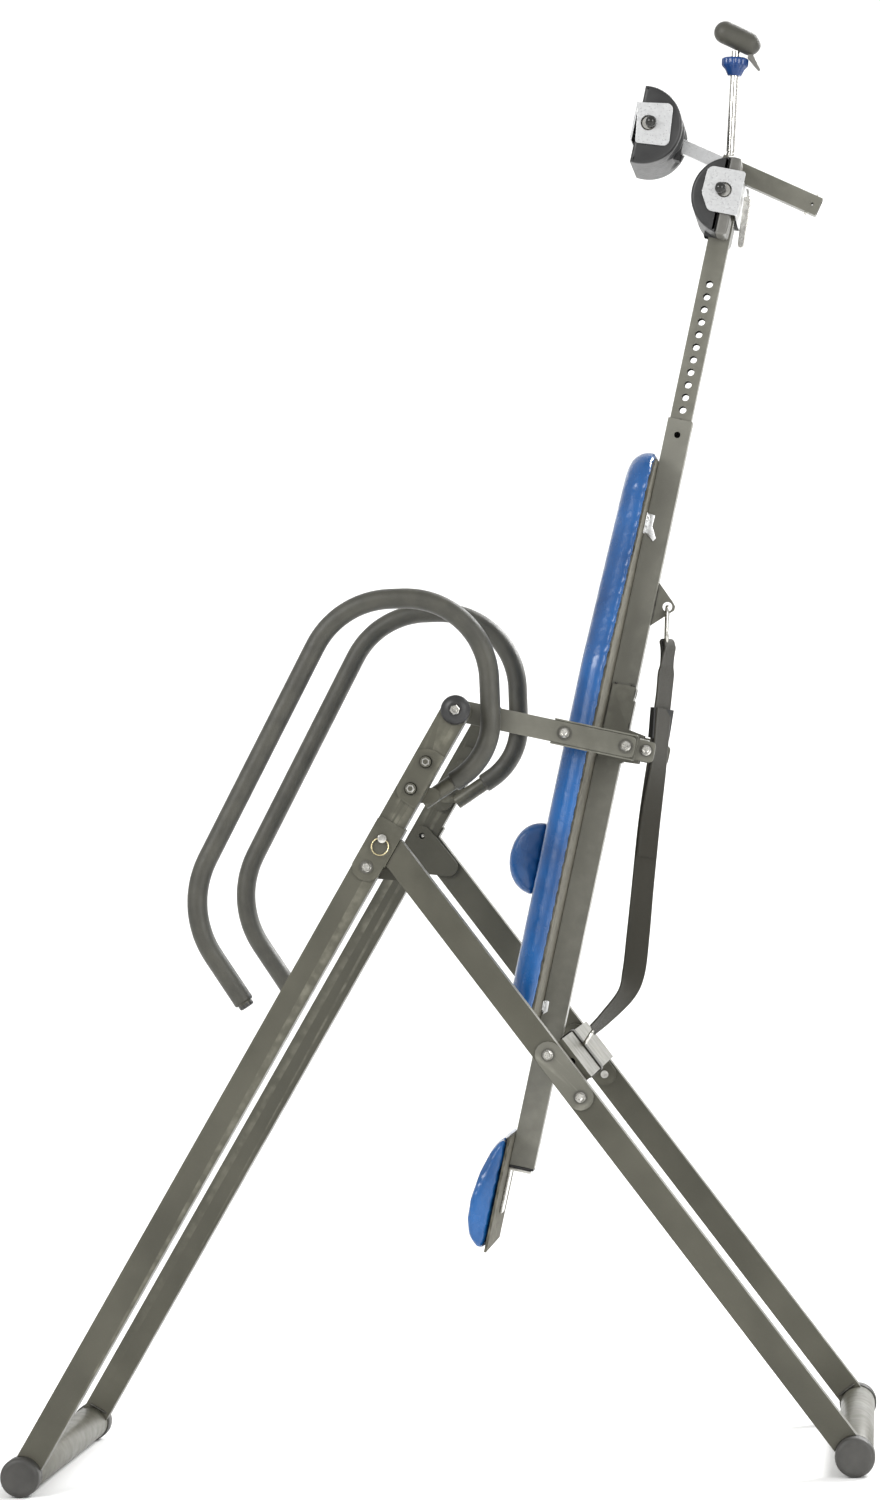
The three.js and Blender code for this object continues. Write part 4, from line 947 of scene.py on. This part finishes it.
# ---- bed ---------------------------------------------------------------------------------------------
def bed_metal():
    softened("boom_tube", 0.0022, 3, BOOMPAINT)
    for node, width in (("adjust_tube", 1.4), ("cross_beam", 1.0), ("carrier_tube", 1.4),
                        ("tether_gusset", 0.5), ("head_bracket", 0.5), ("boom_end_cap", 1.0),
                        ("ankle_lock_lever", 0.7),
                        ("rear_cup_bracket", 0.5), ("slide_bar", 0.7), ("cross_bar", 1.8)):
        softened(node, width * MM, 2)
    for label, side in SIDES:
        softened(f"pivot_arm_{label}", 0.0009, 2)
        softened(f"arm_channel_{label}", 0.0006, 2)
        meshes = []
        spots = []
        for i, n in enumerate((151, 239)):
            p = bed(n, 0)
            meshes += bolt_head("arm_bolt", p.x, p.z, ARM_FACE, side, across=12, turn=0.5 * i, height=4.2)
            spots.append((p.x, p.z, ARM_FACE, 10.2))
        p = bed(268, 0)
        meshes += bolt_head("beam_bolt", p.x, p.z, BEAM_FACE, side, across=12, turn=0.9, height=4.2)
        spots.append((p.x, p.z, BEAM_FACE, 9))
        piece(f"arm_bolt_heads_{label}", joined("bolts", meshes, 28), ZINC, "bed", "bright_zinc")
        washers(f"arm_washers_{label}", spots, side, "bed")
        board_clip(f"upper_clip_{label}", side,
                   [(189.4, 337), (199, 335), (198.5, 319), (207, 303), (204, 298), (189.4, 309)])
        board_clip(f"lower_clip_{label}", side, [(189.4, -384), (195, -385), (196, -400), (189.4, -406)])
    runs = [((224.4, 182), (224.4, 238), 3.2, 1.8), ((192, 86.4), (197, 86.6), 21.4, 1.6),
            ((216, 87.4), (223, 87.6), 21.4, 1.7), ((223.8, 70), (223.9, 84), 20.4, 1.4),
            ((225, 26), (225.2, 34), 20.4, 1.6)]
    for i, (a, b, aside, radius) in enumerate(runs):
        for label, side in SIDES:
            weld_bead(f"boom_weld_{i}_{label}", bed(*a, side * aside), bed(*b, side * aside), radius, WELD,
                      "bed", 10 + i)


def boards():
    for node in ("back_board", "head_board"):
        softened(node, 0.0012, 2)


def straps_and_pads():
    main_cushion()
    lumbar_bolster()
    head_pad()


frame_fixings()
handlebars()
bed_metal()
boards()
straps_and_pads()


# ---- foot end ------------------------------------------------------------------------------------------
def smooth_ring(points, corners, step=3.5):
    """A closed outline through points, smooth except where it turns at the corners, given by index."""
    count = len(points)
    ring = []
    for a, b in zip(corners, corners[1:] + [corners[0] + count]):
        run = [points[i % count] for i in range(a, b + 1)]
        ring += catmull([(x, z, 0.0) for x, z in run], step)[:-1]
    return [(x, z) for x, z, _ in ring]


def inset_ring(ring, by):
    """An outline moved inwards, each point along the mean of its edges' normals."""
    area = sum(a[0] * b[1] - b[0] * a[1] for a, b in zip(ring, ring[1:] + ring[:1]))
    way = 1 if area > 0 else -1
    made = []
    for i, p in enumerate(ring):
        before, after = ring[i - 1], ring[(i + 1) % len(ring)]
        ax, az, bx, bz = p[0] - before[0], p[1] - before[1], after[0] - p[0], after[1] - p[1]
        la, lb = math.hypot(ax, az) or 1, math.hypot(bx, bz) or 1
        nx, nz = -(az / la + bz / lb) * way, (ax / la + bx / lb) * way
        size = math.hypot(nx, nz) or 1
        reach = by / max(0.62, size / 2)
        made.append((p[0] + nx / size * reach, p[1] + nz / size * reach))
    return made


def rounded_end(rounding, depths):
    """A rounded end: (distance in from the end, inset of the outline) for each depth."""
    return [(d, rounding - math.sqrt(max(0.0, rounding ** 2 - (rounding - d) ** 2))) for d in depths]


def outline_at(ring, inset):
    return inset_ring(ring, inset) if inset > 1e-6 else ring


def cup_form(name, node, ring, shape, rounding=5.0):
    """A moulded cup lofted across the bed from its side outline; shape(n, t, y) cuts its hollows."""
    ends = rounded_end(rounding, (0.0, 0.3, 1.0, 2.0, 3.4, rounding))
    inner = CUP_HALF - rounding
    steps = [inner - 2.6 * k for k in range(1, int((inner - 19.0) / 2.6) + 1)] + [18.5, 18.2, 14.4, 14.0, 9.0]
    profile = [(CUP_HALF - d, inset) for d, inset in ends] + [(y, 0.0) for y in steps]
    stations = [(-y, inset) for y, inset in profile] + [(0.0, 0.0)] + profile[::-1]
    rings = []
    for y, inset in stations:
        cut = [shape(n, t, y) for n, t in outline_at(ring, inset)]
        rings.append([(n, y, t) for n, t in cut])
    piece(name, bed_loft(name, rings, 42), PLASTIC, BODY[node], "moulding", [node])


def arc_points(centre, radius, first, last, count):
    return [
        (centre[0] + radius * math.cos(math.radians(first + (last - first) * k / count)),
         centre[1] + radius * math.sin(math.radians(first + (last - first) * k / count)))
        for k in range(count + 1)
    ]


def shell_half(name, ring, side, inner, outer, rounding=3.0):
    """One half of the rear cup's grey shell, rounded at both ends."""
    profile = rounded_end(rounding, (0, 0.3, 1.0, 1.9, rounding))
    stations = [(inner + d, inset) for d, inset in profile]
    stations += [(outer - d, inset) for d, inset in reversed(profile)]
    rings = [[(n, side * y, t) for n, t in outline_at(ring, inset)] for y, inset in stations]
    piece(name, bed_loft(name, rings, 42), SHELL, BODY["rear_ankle_cup"], "moulding")


def cradle(y):
    """How far an ankle's hollow reaches from its axis at y."""
    aside = abs(abs(y) - ANKLE_APART)
    return math.sqrt(ANKLE_RADIUS ** 2 - aside ** 2) if aside < ANKLE_RADIUS else 0.0


def rear_cup():
    """The cup behind the ankles: a black pad in a grey shell of two halves."""
    def shape(n, t, y):
        if abs(y) < 18.4:
            n = min(n, 183.5)
        reach = cradle(y)
        return (max(n, 131 + reach) if reach else n), t

    arc = arc_points(REAR_CUP, CUP_RADIUS, 101.5, 258.5, 26)
    cup_form("rear_cup_pad", "rear_ankle_cup", smooth_ring(arc, [0, len(arc) - 1]), shape)
    outline = [(203.2, 856.2), (208, 857), (218, 856), (219, 852.5), (219.5, 846), (219.5, 833), (217, 831),
               (217, 775), (219.5, 772), (219.5, 752), (218, 746), (214, 744.6), (208, 744.8), (203.2, 745.8)]
    for label, side in SIDES:
        ring = smooth_ring(outline, [0, 5, 6, 7, 8, 13], 4.0)
        shell_half(f"rear_cup_shell_{label}", ring, side, 18.5, 94.6)


def front_cup():
    def shape(n, t, y):
        if abs(y) < 14.2:
            t = min(t, 846)
        reach = cradle(y)
        return (min(n, 150 - reach) if reach else n), t

    arc = arc_points(FRONT_CUP, CUP_RADIUS, 98.2, -98.2, 32)
    back = [(62.2, 850), (62.2, 904)]
    corners = [0] + [len(arc) - 1 + k for k in range(3)]
    cup_form("front_cup_pad", "front_ankle_cup", smooth_ring(arc + back, corners), shape)


def ball_pin(name, node, pin, hole):
    """An ankle cup's cross pin: a rod with a black ball at each end, and a bright bush round it."""
    p, q = bed(*pin), bed(*hole)
    ball = [(106.3 - 8.2 * math.cos(a), 8.2 * math.sin(a)) for a in (math.pi * k / 18 for k in range(4, 19))]
    profile = [[-4, 0], [-4, 5], [98.6, 5], [99.6, 5.2]] + [[h, max(r, 0)] for h, r in ball]
    meshes = [lathe(name, profile, (p.x, 0, p.z), (0, side, 0), 48) for side in (-1, 1)]
    piece(name, joined(name, meshes, 40), BALL, BODY[node], "moulding", [node])
    bushes = [lathe(name, [[95.15, 0], [95.15, 10.7], [97.6, 10.7], [98.2, 10.2], [97.9, 9.6], [96.0, 8.9],
                           [95.7, 0]],
                    (q.x, 0, q.z), (0, side, 0), 48) for side in (-1, 1)]
    piece(name + "_bushes", joined(name, bushes, 35), ZINC, BODY[node])


def ankle_hardware():
    rear_cup()
    front_cup()
    ball_pin("rear_ball_pin", "rear_cup_pin", REAR_PIN, REAR_HOLE)
    ball_pin("front_ball_pin", "front_cup_pin", FRONT_PIN, FRONT_HOLE)
    tail = bed(233.5, 812)
    meshes = [lathe("pivot", [[-9, 0], [-9, 3.6], [-7.6, 4.2], [-6.6, 4.2], [-6.6, 2.4], [6.6, 2.4],
                              [6.6, 4.2], [7.6, 4.2],
                              [9, 3.6], [9, 0]], (tail.x, 0, tail.z), (0, 1, 0), 24)]
    coil = []
    for i in range(97):
        a = 2 * math.pi * 6 * i / 96
        c = bed(240 + 2.6 * math.cos(a), 806 - 34 * i / 96, 2.6 * math.sin(a))
        coil.append(c)
    meshes.append(sweep("spring", coil, 0.5, 8))
    piece("latch_pin_and_spring", joined("latch", meshes, 40), ZINC, BODY["ankle_lock_lever"])


def pull_handle():
    foot, top = bed(*ROD_FOOT), bed(*ROD_TOP)
    way = (top - foot).normalized()
    length = (top - foot).length
    rod = lathe("rod", [[0, 0], [0, 5.6], [0.6, 6], [3, 6], [3.4, 5.4], [5.4, 5.4], [5.8, 6], [length - 8, 6],
                        [length - 8, 0]], foot, way, 40)
    piece("pull_rod", rod, ZINC, BODY["handle_rod"], "bright_zinc", ["handle_rod"])
    collar = knob("collar", [[0, 6.3], [0, 9.6], [0.5, 10], [9, 14], [12.5, 17.4], [14.2, 18.9],
                             [15.4, 19.3], [23, 19.5],
                             [24.6, 18.9], [26, 16.6], [26, 6.3], [0, 6.3]], foot + way * 116, way, 10, 0.07)
    piece("twist_collar", collar, BLUE, BODY["handle_collar"], "blue_gloss", ["handle_collar"])
    lean = math.radians(-14)
    reach, radius = 19.5, 16.5
    ends = [bed(ROD_TOP[0] + s * reach * math.cos(lean), ROD_TOP[1] + 11 + s * reach * math.sin(lean))
            for s in (-1, 1)]
    profile = [[-radius * math.cos(a), radius * math.sin(a)]
               for a in (math.pi / 2 * k / 10 for k in range(11))]
    profile += [[2 * reach + radius * math.sin(a), radius * math.cos(a)]
                for a in (math.pi / 2 * k / 10 for k in range(11))]
    profile[0][1] = profile[-1][1] = 0
    mesh = lathe("grip", profile, ends[0], ends[1] - ends[0], 56)
    piece("capsule_grip", mesh, FOAM, BODY["handle_grip"], "grip_foam", ["handle_grip"])
    tab = plate("tab", [(192, 1022), (198, 1019), (213, 1000), (211, 997), (203, 1003), (191, 1013)], -5, 5,
                0.7)
    piece("release_tab", tab, SHELL, BODY["handle_grip"])


def height_knob():
    p = bed(206, 456)
    profile = [[16.3, 0], [16.3, 3.6], [16.7, 4], [18.3, 4], [18.3, 7.6], [18.7, 8], [25.6, 8], [26, 7.6],
               [26, 4.5],
               [30, 4.5], [30, 12.6], [31, 13.8], [32, 14], [41, 14], [43.4, 13], [44.8, 10.6], [45, 8],
               [44.4, 0]]
    mesh = knob("knob", profile, (p.x, 0, p.z), (0, 1, 0), 6, 0.12)
    piece("height_knob", mesh, PLASTIC, BODY["height_pin"], "moulding", ["height_pin"])


def carrier_details():
    slope = math.radians(-12.7)
    for name, along, side in (("top", 120, 1), ("low", 114, -1)):
        n = 212 + along * math.cos(slope) - side * 13.4 * math.sin(slope)
        t = 848.5 + along * math.sin(slope) + side * 13.4 * math.cos(slope)
        base = bed(n, t)
        way = bed(n - side * math.sin(slope), t + side * math.cos(slope)) - base
        head = [[0, 0], [0, 3.4], [0.6, 3.5], [1.6, 2.9], [2.0, 1.8], [2.0, 1.5], [5.0, 1.3], [5.4, 0]]
        piece(f"end_screw_{name}", lathe("screw", head, base, way, 24), ZINC, BODY["carrier_tube"])


def snap_hook():
    """The tether's hook: a bent wire with an eye, and its spring gate on a hinge barrel."""
    eye, down = Vector((243, 0, 210)), Vector((9, 0, -49)).normalized()
    half, length = 11, 52

    def place(d, y):
        q = eye + down * d
        return bed(q.x, q.z, y)

    wire = [place(half + 1.5, half)]
    turn = [math.pi * k / 20 for k in range(21)]
    wire += [place(half - half * math.sin(a), half * math.cos(a)) for a in turn]
    wire += [place(length - half + half * math.sin(a), -half * math.cos(a)) for a in turn]
    wire += [place(length - half - 2, half)]
    out = BED.to_3x3() @ Vector((down.z, 0, -down.x))
    radii = [3.4, 3.3] + [3.0] * (len(wire) - 4) + [2.9, 2.4]
    meshes = [sweep("wire", wire, radii, 16, out=out)]
    piece("hook_wire", joined("hook", meshes, 40), ZINC, BODY["tether_hook"], "bright_zinc", ["tether_hook"])
    gate = [place(half + 2.2, half), place(half + 4, half), place(length - half - 6, half),
            place(length - half - 3.2, half)]
    mesh = sweep("gate", gate, [2.1, 2.6, 2.2, 1.7], 16, out=out)
    piece("hook_gate_wire", mesh, ZINC, BODY["tether_hook_gate"], "bright_zinc", ["tether_hook_gate"])


def floor_tubes():
    for node, foot in (("rear_floor_tube", REAR_FOOT), ("front_floor_tube", FRONT_FOOT)):
        profile = [[-306, 23.4], [-306, 25.2], [-305.6, 25.4], [305.6, 25.4], [306, 25.2], [306, 23.4],
                   [-306, 23.4]]
        mesh = lathe("tube", profile, (foot.x, 0, foot.z), (0, 1, 0), 72)
        piece(node + "_skin", mesh, FRAME, BODY[node], "frame_paint", [node])
        up = UP_REAR if foot.x < 0 else UP_FRONT
        for label, side in SIDES:
            base = foot + up * 27.0
            across = Vector((up.z, 0, -up.x)) * 15
            inner = Vector((0, side * 271.2, 0))
            end = "rear" if foot.x < 0 else "front"
            weld_bead(f"foot_weld_{label}_{end}", base - across + inner, base + across + inner, 2.2, WELD,
                      BODY[node], 40)


floor_tubes()
ankle_hardware()
pull_handle()
height_knob()
carrier_details()
snap_hook()


# ---- tether ------------------------------------------------------------------------------------------
STRAP = [
    (255.5, 152, 0, 54), (258.0, 140, 0, 53), (260, 124, 0, 51), (264.4, 86, -1, 53), (266.4, 64, -1.5, 52),
    (270.4, 20, -2.5, 52), (272.4, -2, -3, 51), (274.4, -24, -3.5, 47), (280, -78, -5.5, 34),
         (284.8, -124, -7, 29),
    (293.5, -201, -9.5, 28), (301, -265, -13, 23), (306, -317, -19, 25), (302, -351, -26, 46),
         (281, -389, -35, 60),
    (266, -411, -41, 68),
]


def strap_sections(stations):
    """Cross sections of the webbing: (centre, across, out) for each smooth station."""
    dense = catmull([(n, t, y, turn) for n, t, y, turn in stations], 5.0)
    sections = []
    for i, (n, t, y, turn) in enumerate(dense):
        before = dense[max(i - 1, 0)]
        after = dense[min(i + 1, len(dense) - 1)]
        run = Vector((after[0] - before[0], after[2] - before[2], after[1] - before[1])).normalized()
        angle = math.radians(turn)
        flat = Vector((-run.z, 0, run.x)).normalized()
        across = flat * math.cos(angle) + Vector((0, math.sin(angle), 0))
        across = (across - run * across.dot(run)).normalized()
        out = run.cross(across)
        sections.append((Vector((n, y, t)), across, out))
    return sections


def webbing(name, sections, width, thickness, offset=None, place=BED, narrow=None):
    """A flat woven band through sections, with UV in mm; offset moves each section out, narrow gathers it."""
    bm = bmesh.new()
    layer = bm.loops.layers.uv.new("uv")
    half = width / 2
    ring = [(-half, 0.0), (-half + 0.7, 0.42), (-half + 2.2, 0.5), (-half + 3.4, 0.44)]
    ring += [(x, 0.47) for x in (-half * 0.5, 0.0, half * 0.5)]
    ring += [(-a, b) for a, b in reversed(ring[:4])]
    ring += [(a, -b) for a, b in reversed(ring[1:-1])]
    rings, along = [], 0.0
    distances = []
    for i, (centre, across, out) in enumerate(sections):
        if i:
            along += (centre - sections[i - 1][0]).length
        distances.append(along)
        lift = offset(i / (len(sections) - 1)) if offset else 0.0
        squeeze = narrow(i / (len(sections) - 1)) if narrow else 1.0
        rings.append([
            bm.verts.new(place @ ((centre + across * (a * squeeze) + out * (b * thickness + lift)) * MM))
            for a, b in ring
        ])
    for i, (low, high) in enumerate(zip(rings, rings[1:])):
        for k in range(len(ring)):
            j = (k + 1) % len(ring)
            face = bm.faces.new((low[k], low[j], high[j], high[k]))
            for loop, (column, row) in zip(face.loops, ((k, i), (j, i), (j, i + 1), (k, i + 1))):
                loop[layer].uv = (ring[column % len(ring)][0], distances[row])
    bm.faces.new(rings[0])
    bm.faces.new(rings[-1])
    return from_bmesh(name, bm, 60)


def top_loop(sections):
    """Sections of the strap's folded end: up one side of the hook's wire, round it and down the other."""
    wire = Vector((252.4, 0, 158.8))
    head, across, _ = sections[0]
    up = (head - sections[3][0]).normalized()
    out = up.cross(across).normalized()
    made = []
    for k in range(5):
        f = k / 4
        made.append((sections[0][0].lerp(sections[5][0], 1 - f) - out * (5.0 * f ** 1.5), across, out))
    for k in range(1, 12):
        a = math.pi * k / 12
        round_wire = wire - out * (5.0 * math.cos(a)) + up * (5.0 * math.sin(a))
        made.append((round_wire, across, out * math.cos(a) - up * math.sin(a)))
    for k in range(9):
        f = k / 8
        i = min(round(8 * f), len(sections) - 1)
        made.append((sections[i][0] + out * (5.0 - 2.1 * min(1.0, f * 1.6)), across, -out))
    return made


def gathered(f):
    """The strap's share of its width, less near the hook."""
    return 0.6 + 0.4 * min(1.0, f * 4.5) ** 1.5


def loop_gathered(f):
    return 0.58 + 0.3 * abs(2 * f - 1.1) ** 2


def tether():
    """The strap in four runs, with its loose tail."""
    sections = strap_sections(STRAP)
    count = len(sections)
    cuts = [0, round(count * 0.28), round(count * 0.60), round(count * 0.80), count - 1]
    names = ("strap_top", "strap_upper", "strap_middle", "strap_lower")
    pairs = (("bed", "hook"), ("pivot_pins", "bed"), ("rear_frame", "pivot_pins"),
             ("front_frame", "rear_frame"))
    tail = (17, round(count * 0.52))
    for k, (name, (low_body, high_body)) in enumerate(zip(names, pairs)):
        part = sections[cuts[k]:cuts[k + 1] + 1]
        pieces = []
        narrow = gathered if k == 0 else None
        made = piece(name, webbing(name, part, STRAP_WIDTH, STRAP_THICKNESS, narrow=narrow), WEB)
        pieces.append(made)
        if k == 0:
            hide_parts("tether_strap")
            loop = webbing("strap_loop", top_loop(sections), 34, 2.2, narrow=loop_gathered)
            pieces.append(piece("strap_loop", loop, WEB))
        first, last = max(cuts[k], tail[0]), min(cuts[k + 1], tail[1])
        if first < last:
            loose = sections[first:last + 1]

            def lift(f):
                gone = (first + (last - first) * f - tail[0]) / (tail[1] - tail[0])
                return 3.2 + 5.5 * math.sin(math.pi * min(1.0, gone * 1.15)) ** 2 * (1 - gone)

            pieces.append(piece(f"{name}_tail", webbing("tail", loose, 33, 2.2, lift), WEB))
        for made in pieces:
            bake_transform(made)
    return sections


def strap_fittings(sections):
    """The adjuster on the strap, its metal tongue, and the loop that ties the strap to the cross bar."""
    softened("strap_buckle", 0.0014, 3)
    nearest = min(range(len(sections)), key=lambda i: abs(sections[i][0].z - 42))
    centre, across, out = sections[nearest]
    run = out.cross(across)
    frame_of = Matrix((across, out, run)).transposed().to_4x4()
    frame_of.translation = centre * MM
    face = -4.1 if (BED.to_3x3() @ out).y > 0 else 4.1
    meshes = []
    for a, c, wide, tall in ((-9, -8, 8.5, 9.5), (-11, -22, 4.6, 4.6)):
        bm = bmesh.new()
        bmesh.ops.create_cube(bm, size=1.0)
        bmesh.ops.scale(bm, vec=(wide * MM, 1.2 * MM, tall * MM), verts=bm.verts)
        bmesh.ops.bevel(bm, geom=bm.edges[:], offset=0.45 * MM, segments=2, profile=0.5, affect="EDGES")
        bmesh.ops.translate(bm, vec=(a * MM, face * MM, c * MM), verts=bm.verts)
        bmesh.ops.transform(bm, matrix=BED @ frame_of, verts=bm.verts)
        meshes.append(from_bmesh("tongue", bm, 40))
    piece("buckle_tongue", joined("tongue", meshes, 40), ZINC, BODY["strap_buckle"])
    half_long, half_deep, gap = 33.5 + 1.6, 10 + 1.6, 4.0
    path = []
    corners = [(1, 1), (-1, 1), (-1, -1), (1, -1)]
    for k, (a, b) in enumerate(corners):
        centre_of = CROSS_BAR + UP_FRONT * (a * (half_long - gap)) + ACROSS_FRONT * (b * (half_deep - gap))
        for i in range(5):
            angle = math.pi / 4 + math.pi / 2 * k + (i - 2) * math.pi / 8
            way = UP_FRONT * math.cos(angle) + ACROSS_FRONT * math.sin(angle)
            path.append((centre_of + way * gap, way))
    path += path[:1]
    bands = []
    for p, way in path:
        bands.append((Vector((p.x, -41, p.z)), Vector((0, 1, 0)), way))
    wrap = piece("bar_wrap", webbing("wrap", bands, 34, 2.4, place=Matrix.Identity(4)), WEB, "front_frame")
    seat = CROSS_BAR + ACROSS_FRONT * 13.2 + UP_FRONT * 9
    top = bed(267, -412)
    loop = [seat + Vector((0, y, 0)) for y in (-21, -61)]
    ring = [loop[0], loop[0].lerp(Vector((top.x, loop[0].y, top.z)), 0.7), Vector((top.x, -26, top.z)),
            Vector((top.x, -41, top.z)), Vector((top.x, -56, top.z)),
            loop[1].lerp(Vector((top.x, loop[1].y, top.z)), 0.7), loop[1], loop[1].lerp(loop[0], 0.5),
            loop[0]]
    dense = [Vector(p[:3]) for p in catmull([tuple(p) for p in ring], 3.0)]
    meshes = [sweep("ring", dense, 2.3, 14, out=(top - seat).normalized().cross(Vector((0, 1, 0))))]
    piece("bar_ring", joined("ring", meshes, 40), ZINC, "front_frame")


strap_fittings(tether())


# ---- what stays from the CAD -------------------------------------------------------------------------
for node, shown in NODES.items():
    shown.data.materials.clear()
    shown.data.materials.append(SLOTS[NODE_SLOT[node]])
    if not shown.hide_render:
        smooth(shown.data, 30)


# ---- floor and light ---------------------------------------------------------------------------------
def one_sided(material):
    """The material with its back clear, so that a sheet seen from behind hides nothing."""
    tree = material.node_tree
    output = next(n for n in tree.nodes if n.type == "OUTPUT_MATERIAL")
    surface = output.inputs["Surface"].links[0].from_socket
    geometry = tree.nodes.new("ShaderNodeNewGeometry")
    clear = tree.nodes.new("ShaderNodeBsdfTransparent")
    mix = tree.nodes.new("ShaderNodeMixShader")
    tree.links.new(geometry.outputs["Backfacing"], mix.inputs[0])
    tree.links.new(surface, mix.inputs[1])
    tree.links.new(clear.outputs[0], mix.inputs[2])
    tree.links.new(mix.outputs[0], output.inputs["Surface"])
    return material


def backdrop():
    """A pale floor that curves up behind the object."""
    bm = bmesh.new()
    rows = []
    profile = [(-9.0, 0.0), (3.2, 0.0)]
    profile += [(3.2 + 1.8 * math.sin(a), 1.8 - 1.8 * math.cos(a))
                for a in (math.pi / 2 * k / 12 for k in range(1, 13))]
    profile += [(5.0, 9.0)]
    for y, z in profile:
        rows.append([bm.verts.new((x, y, z - 0.0005)) for x in (-12.0, 12.0)])
    for low, high in zip(rows, rows[1:]):
        bm.faces.new((low[0], low[1], high[1], high[0]))
    mesh = from_bmesh("backdrop", bm, 60)
    if mesh.polygons[0].normal.z < 0:
        mesh.flip_normals()
    m = Nodes("pale_floor", specular=0.15)
    tone = m.blend(m.noise(0.8, 2), rgb(0.86, 0.86, 0.85), rgb(0.9, 0.9, 0.895))
    made = bpy.data.objects.new("backdrop", mesh)
    made.data.materials.append(one_sided(m.finish(tone, m.ramp(m.noise(3, 2), 0.0, 1.0, 0.75, 0.85))))
    scene.collection.objects.link(made)


def soft_light(name, place, target, width, height, power, tint=(1, 1, 1)):
    data = bpy.data.lights.new(name, "AREA")
    data.shape = "RECTANGLE"
    data.size, data.size_y = width, height
    data.energy = power
    data.color = tint
    light = bpy.data.objects.new(name, data)
    light.location = place
    light.rotation_mode = "QUATERNION"
    light.rotation_quaternion = (Vector(target) - Vector(place)).to_track_quat("-Z", "Y")
    scene.collection.objects.link(light)


def studio():
    backdrop()
    world = bpy.data.worlds.new("studio")
    world.use_nodes = True
    world.node_tree.nodes["Background"].inputs["Color"].default_value = rgb(1.0, 1.0, 1.0)
    world.node_tree.nodes["Background"].inputs["Strength"].default_value = 0.75
    scene.world = world
    soft_light("key", (-3.2, -4.2, 3.6), (0, 0, 1.0), 2.4, 2.4, 190)
    soft_light("fill", (4.2, -4.6, 2.4), (0.2, 0, 0.9), 2.6, 3.0, 170)
    soft_light("rim", (2.6, 2.4, 3.4), (0.2, 0, 0.9), 2.2, 2.2, 300)
    scene.view_settings.view_transform = "Standard"
    scene.view_settings.look = "None"
    scene.view_settings.exposure = 0.0


studio()
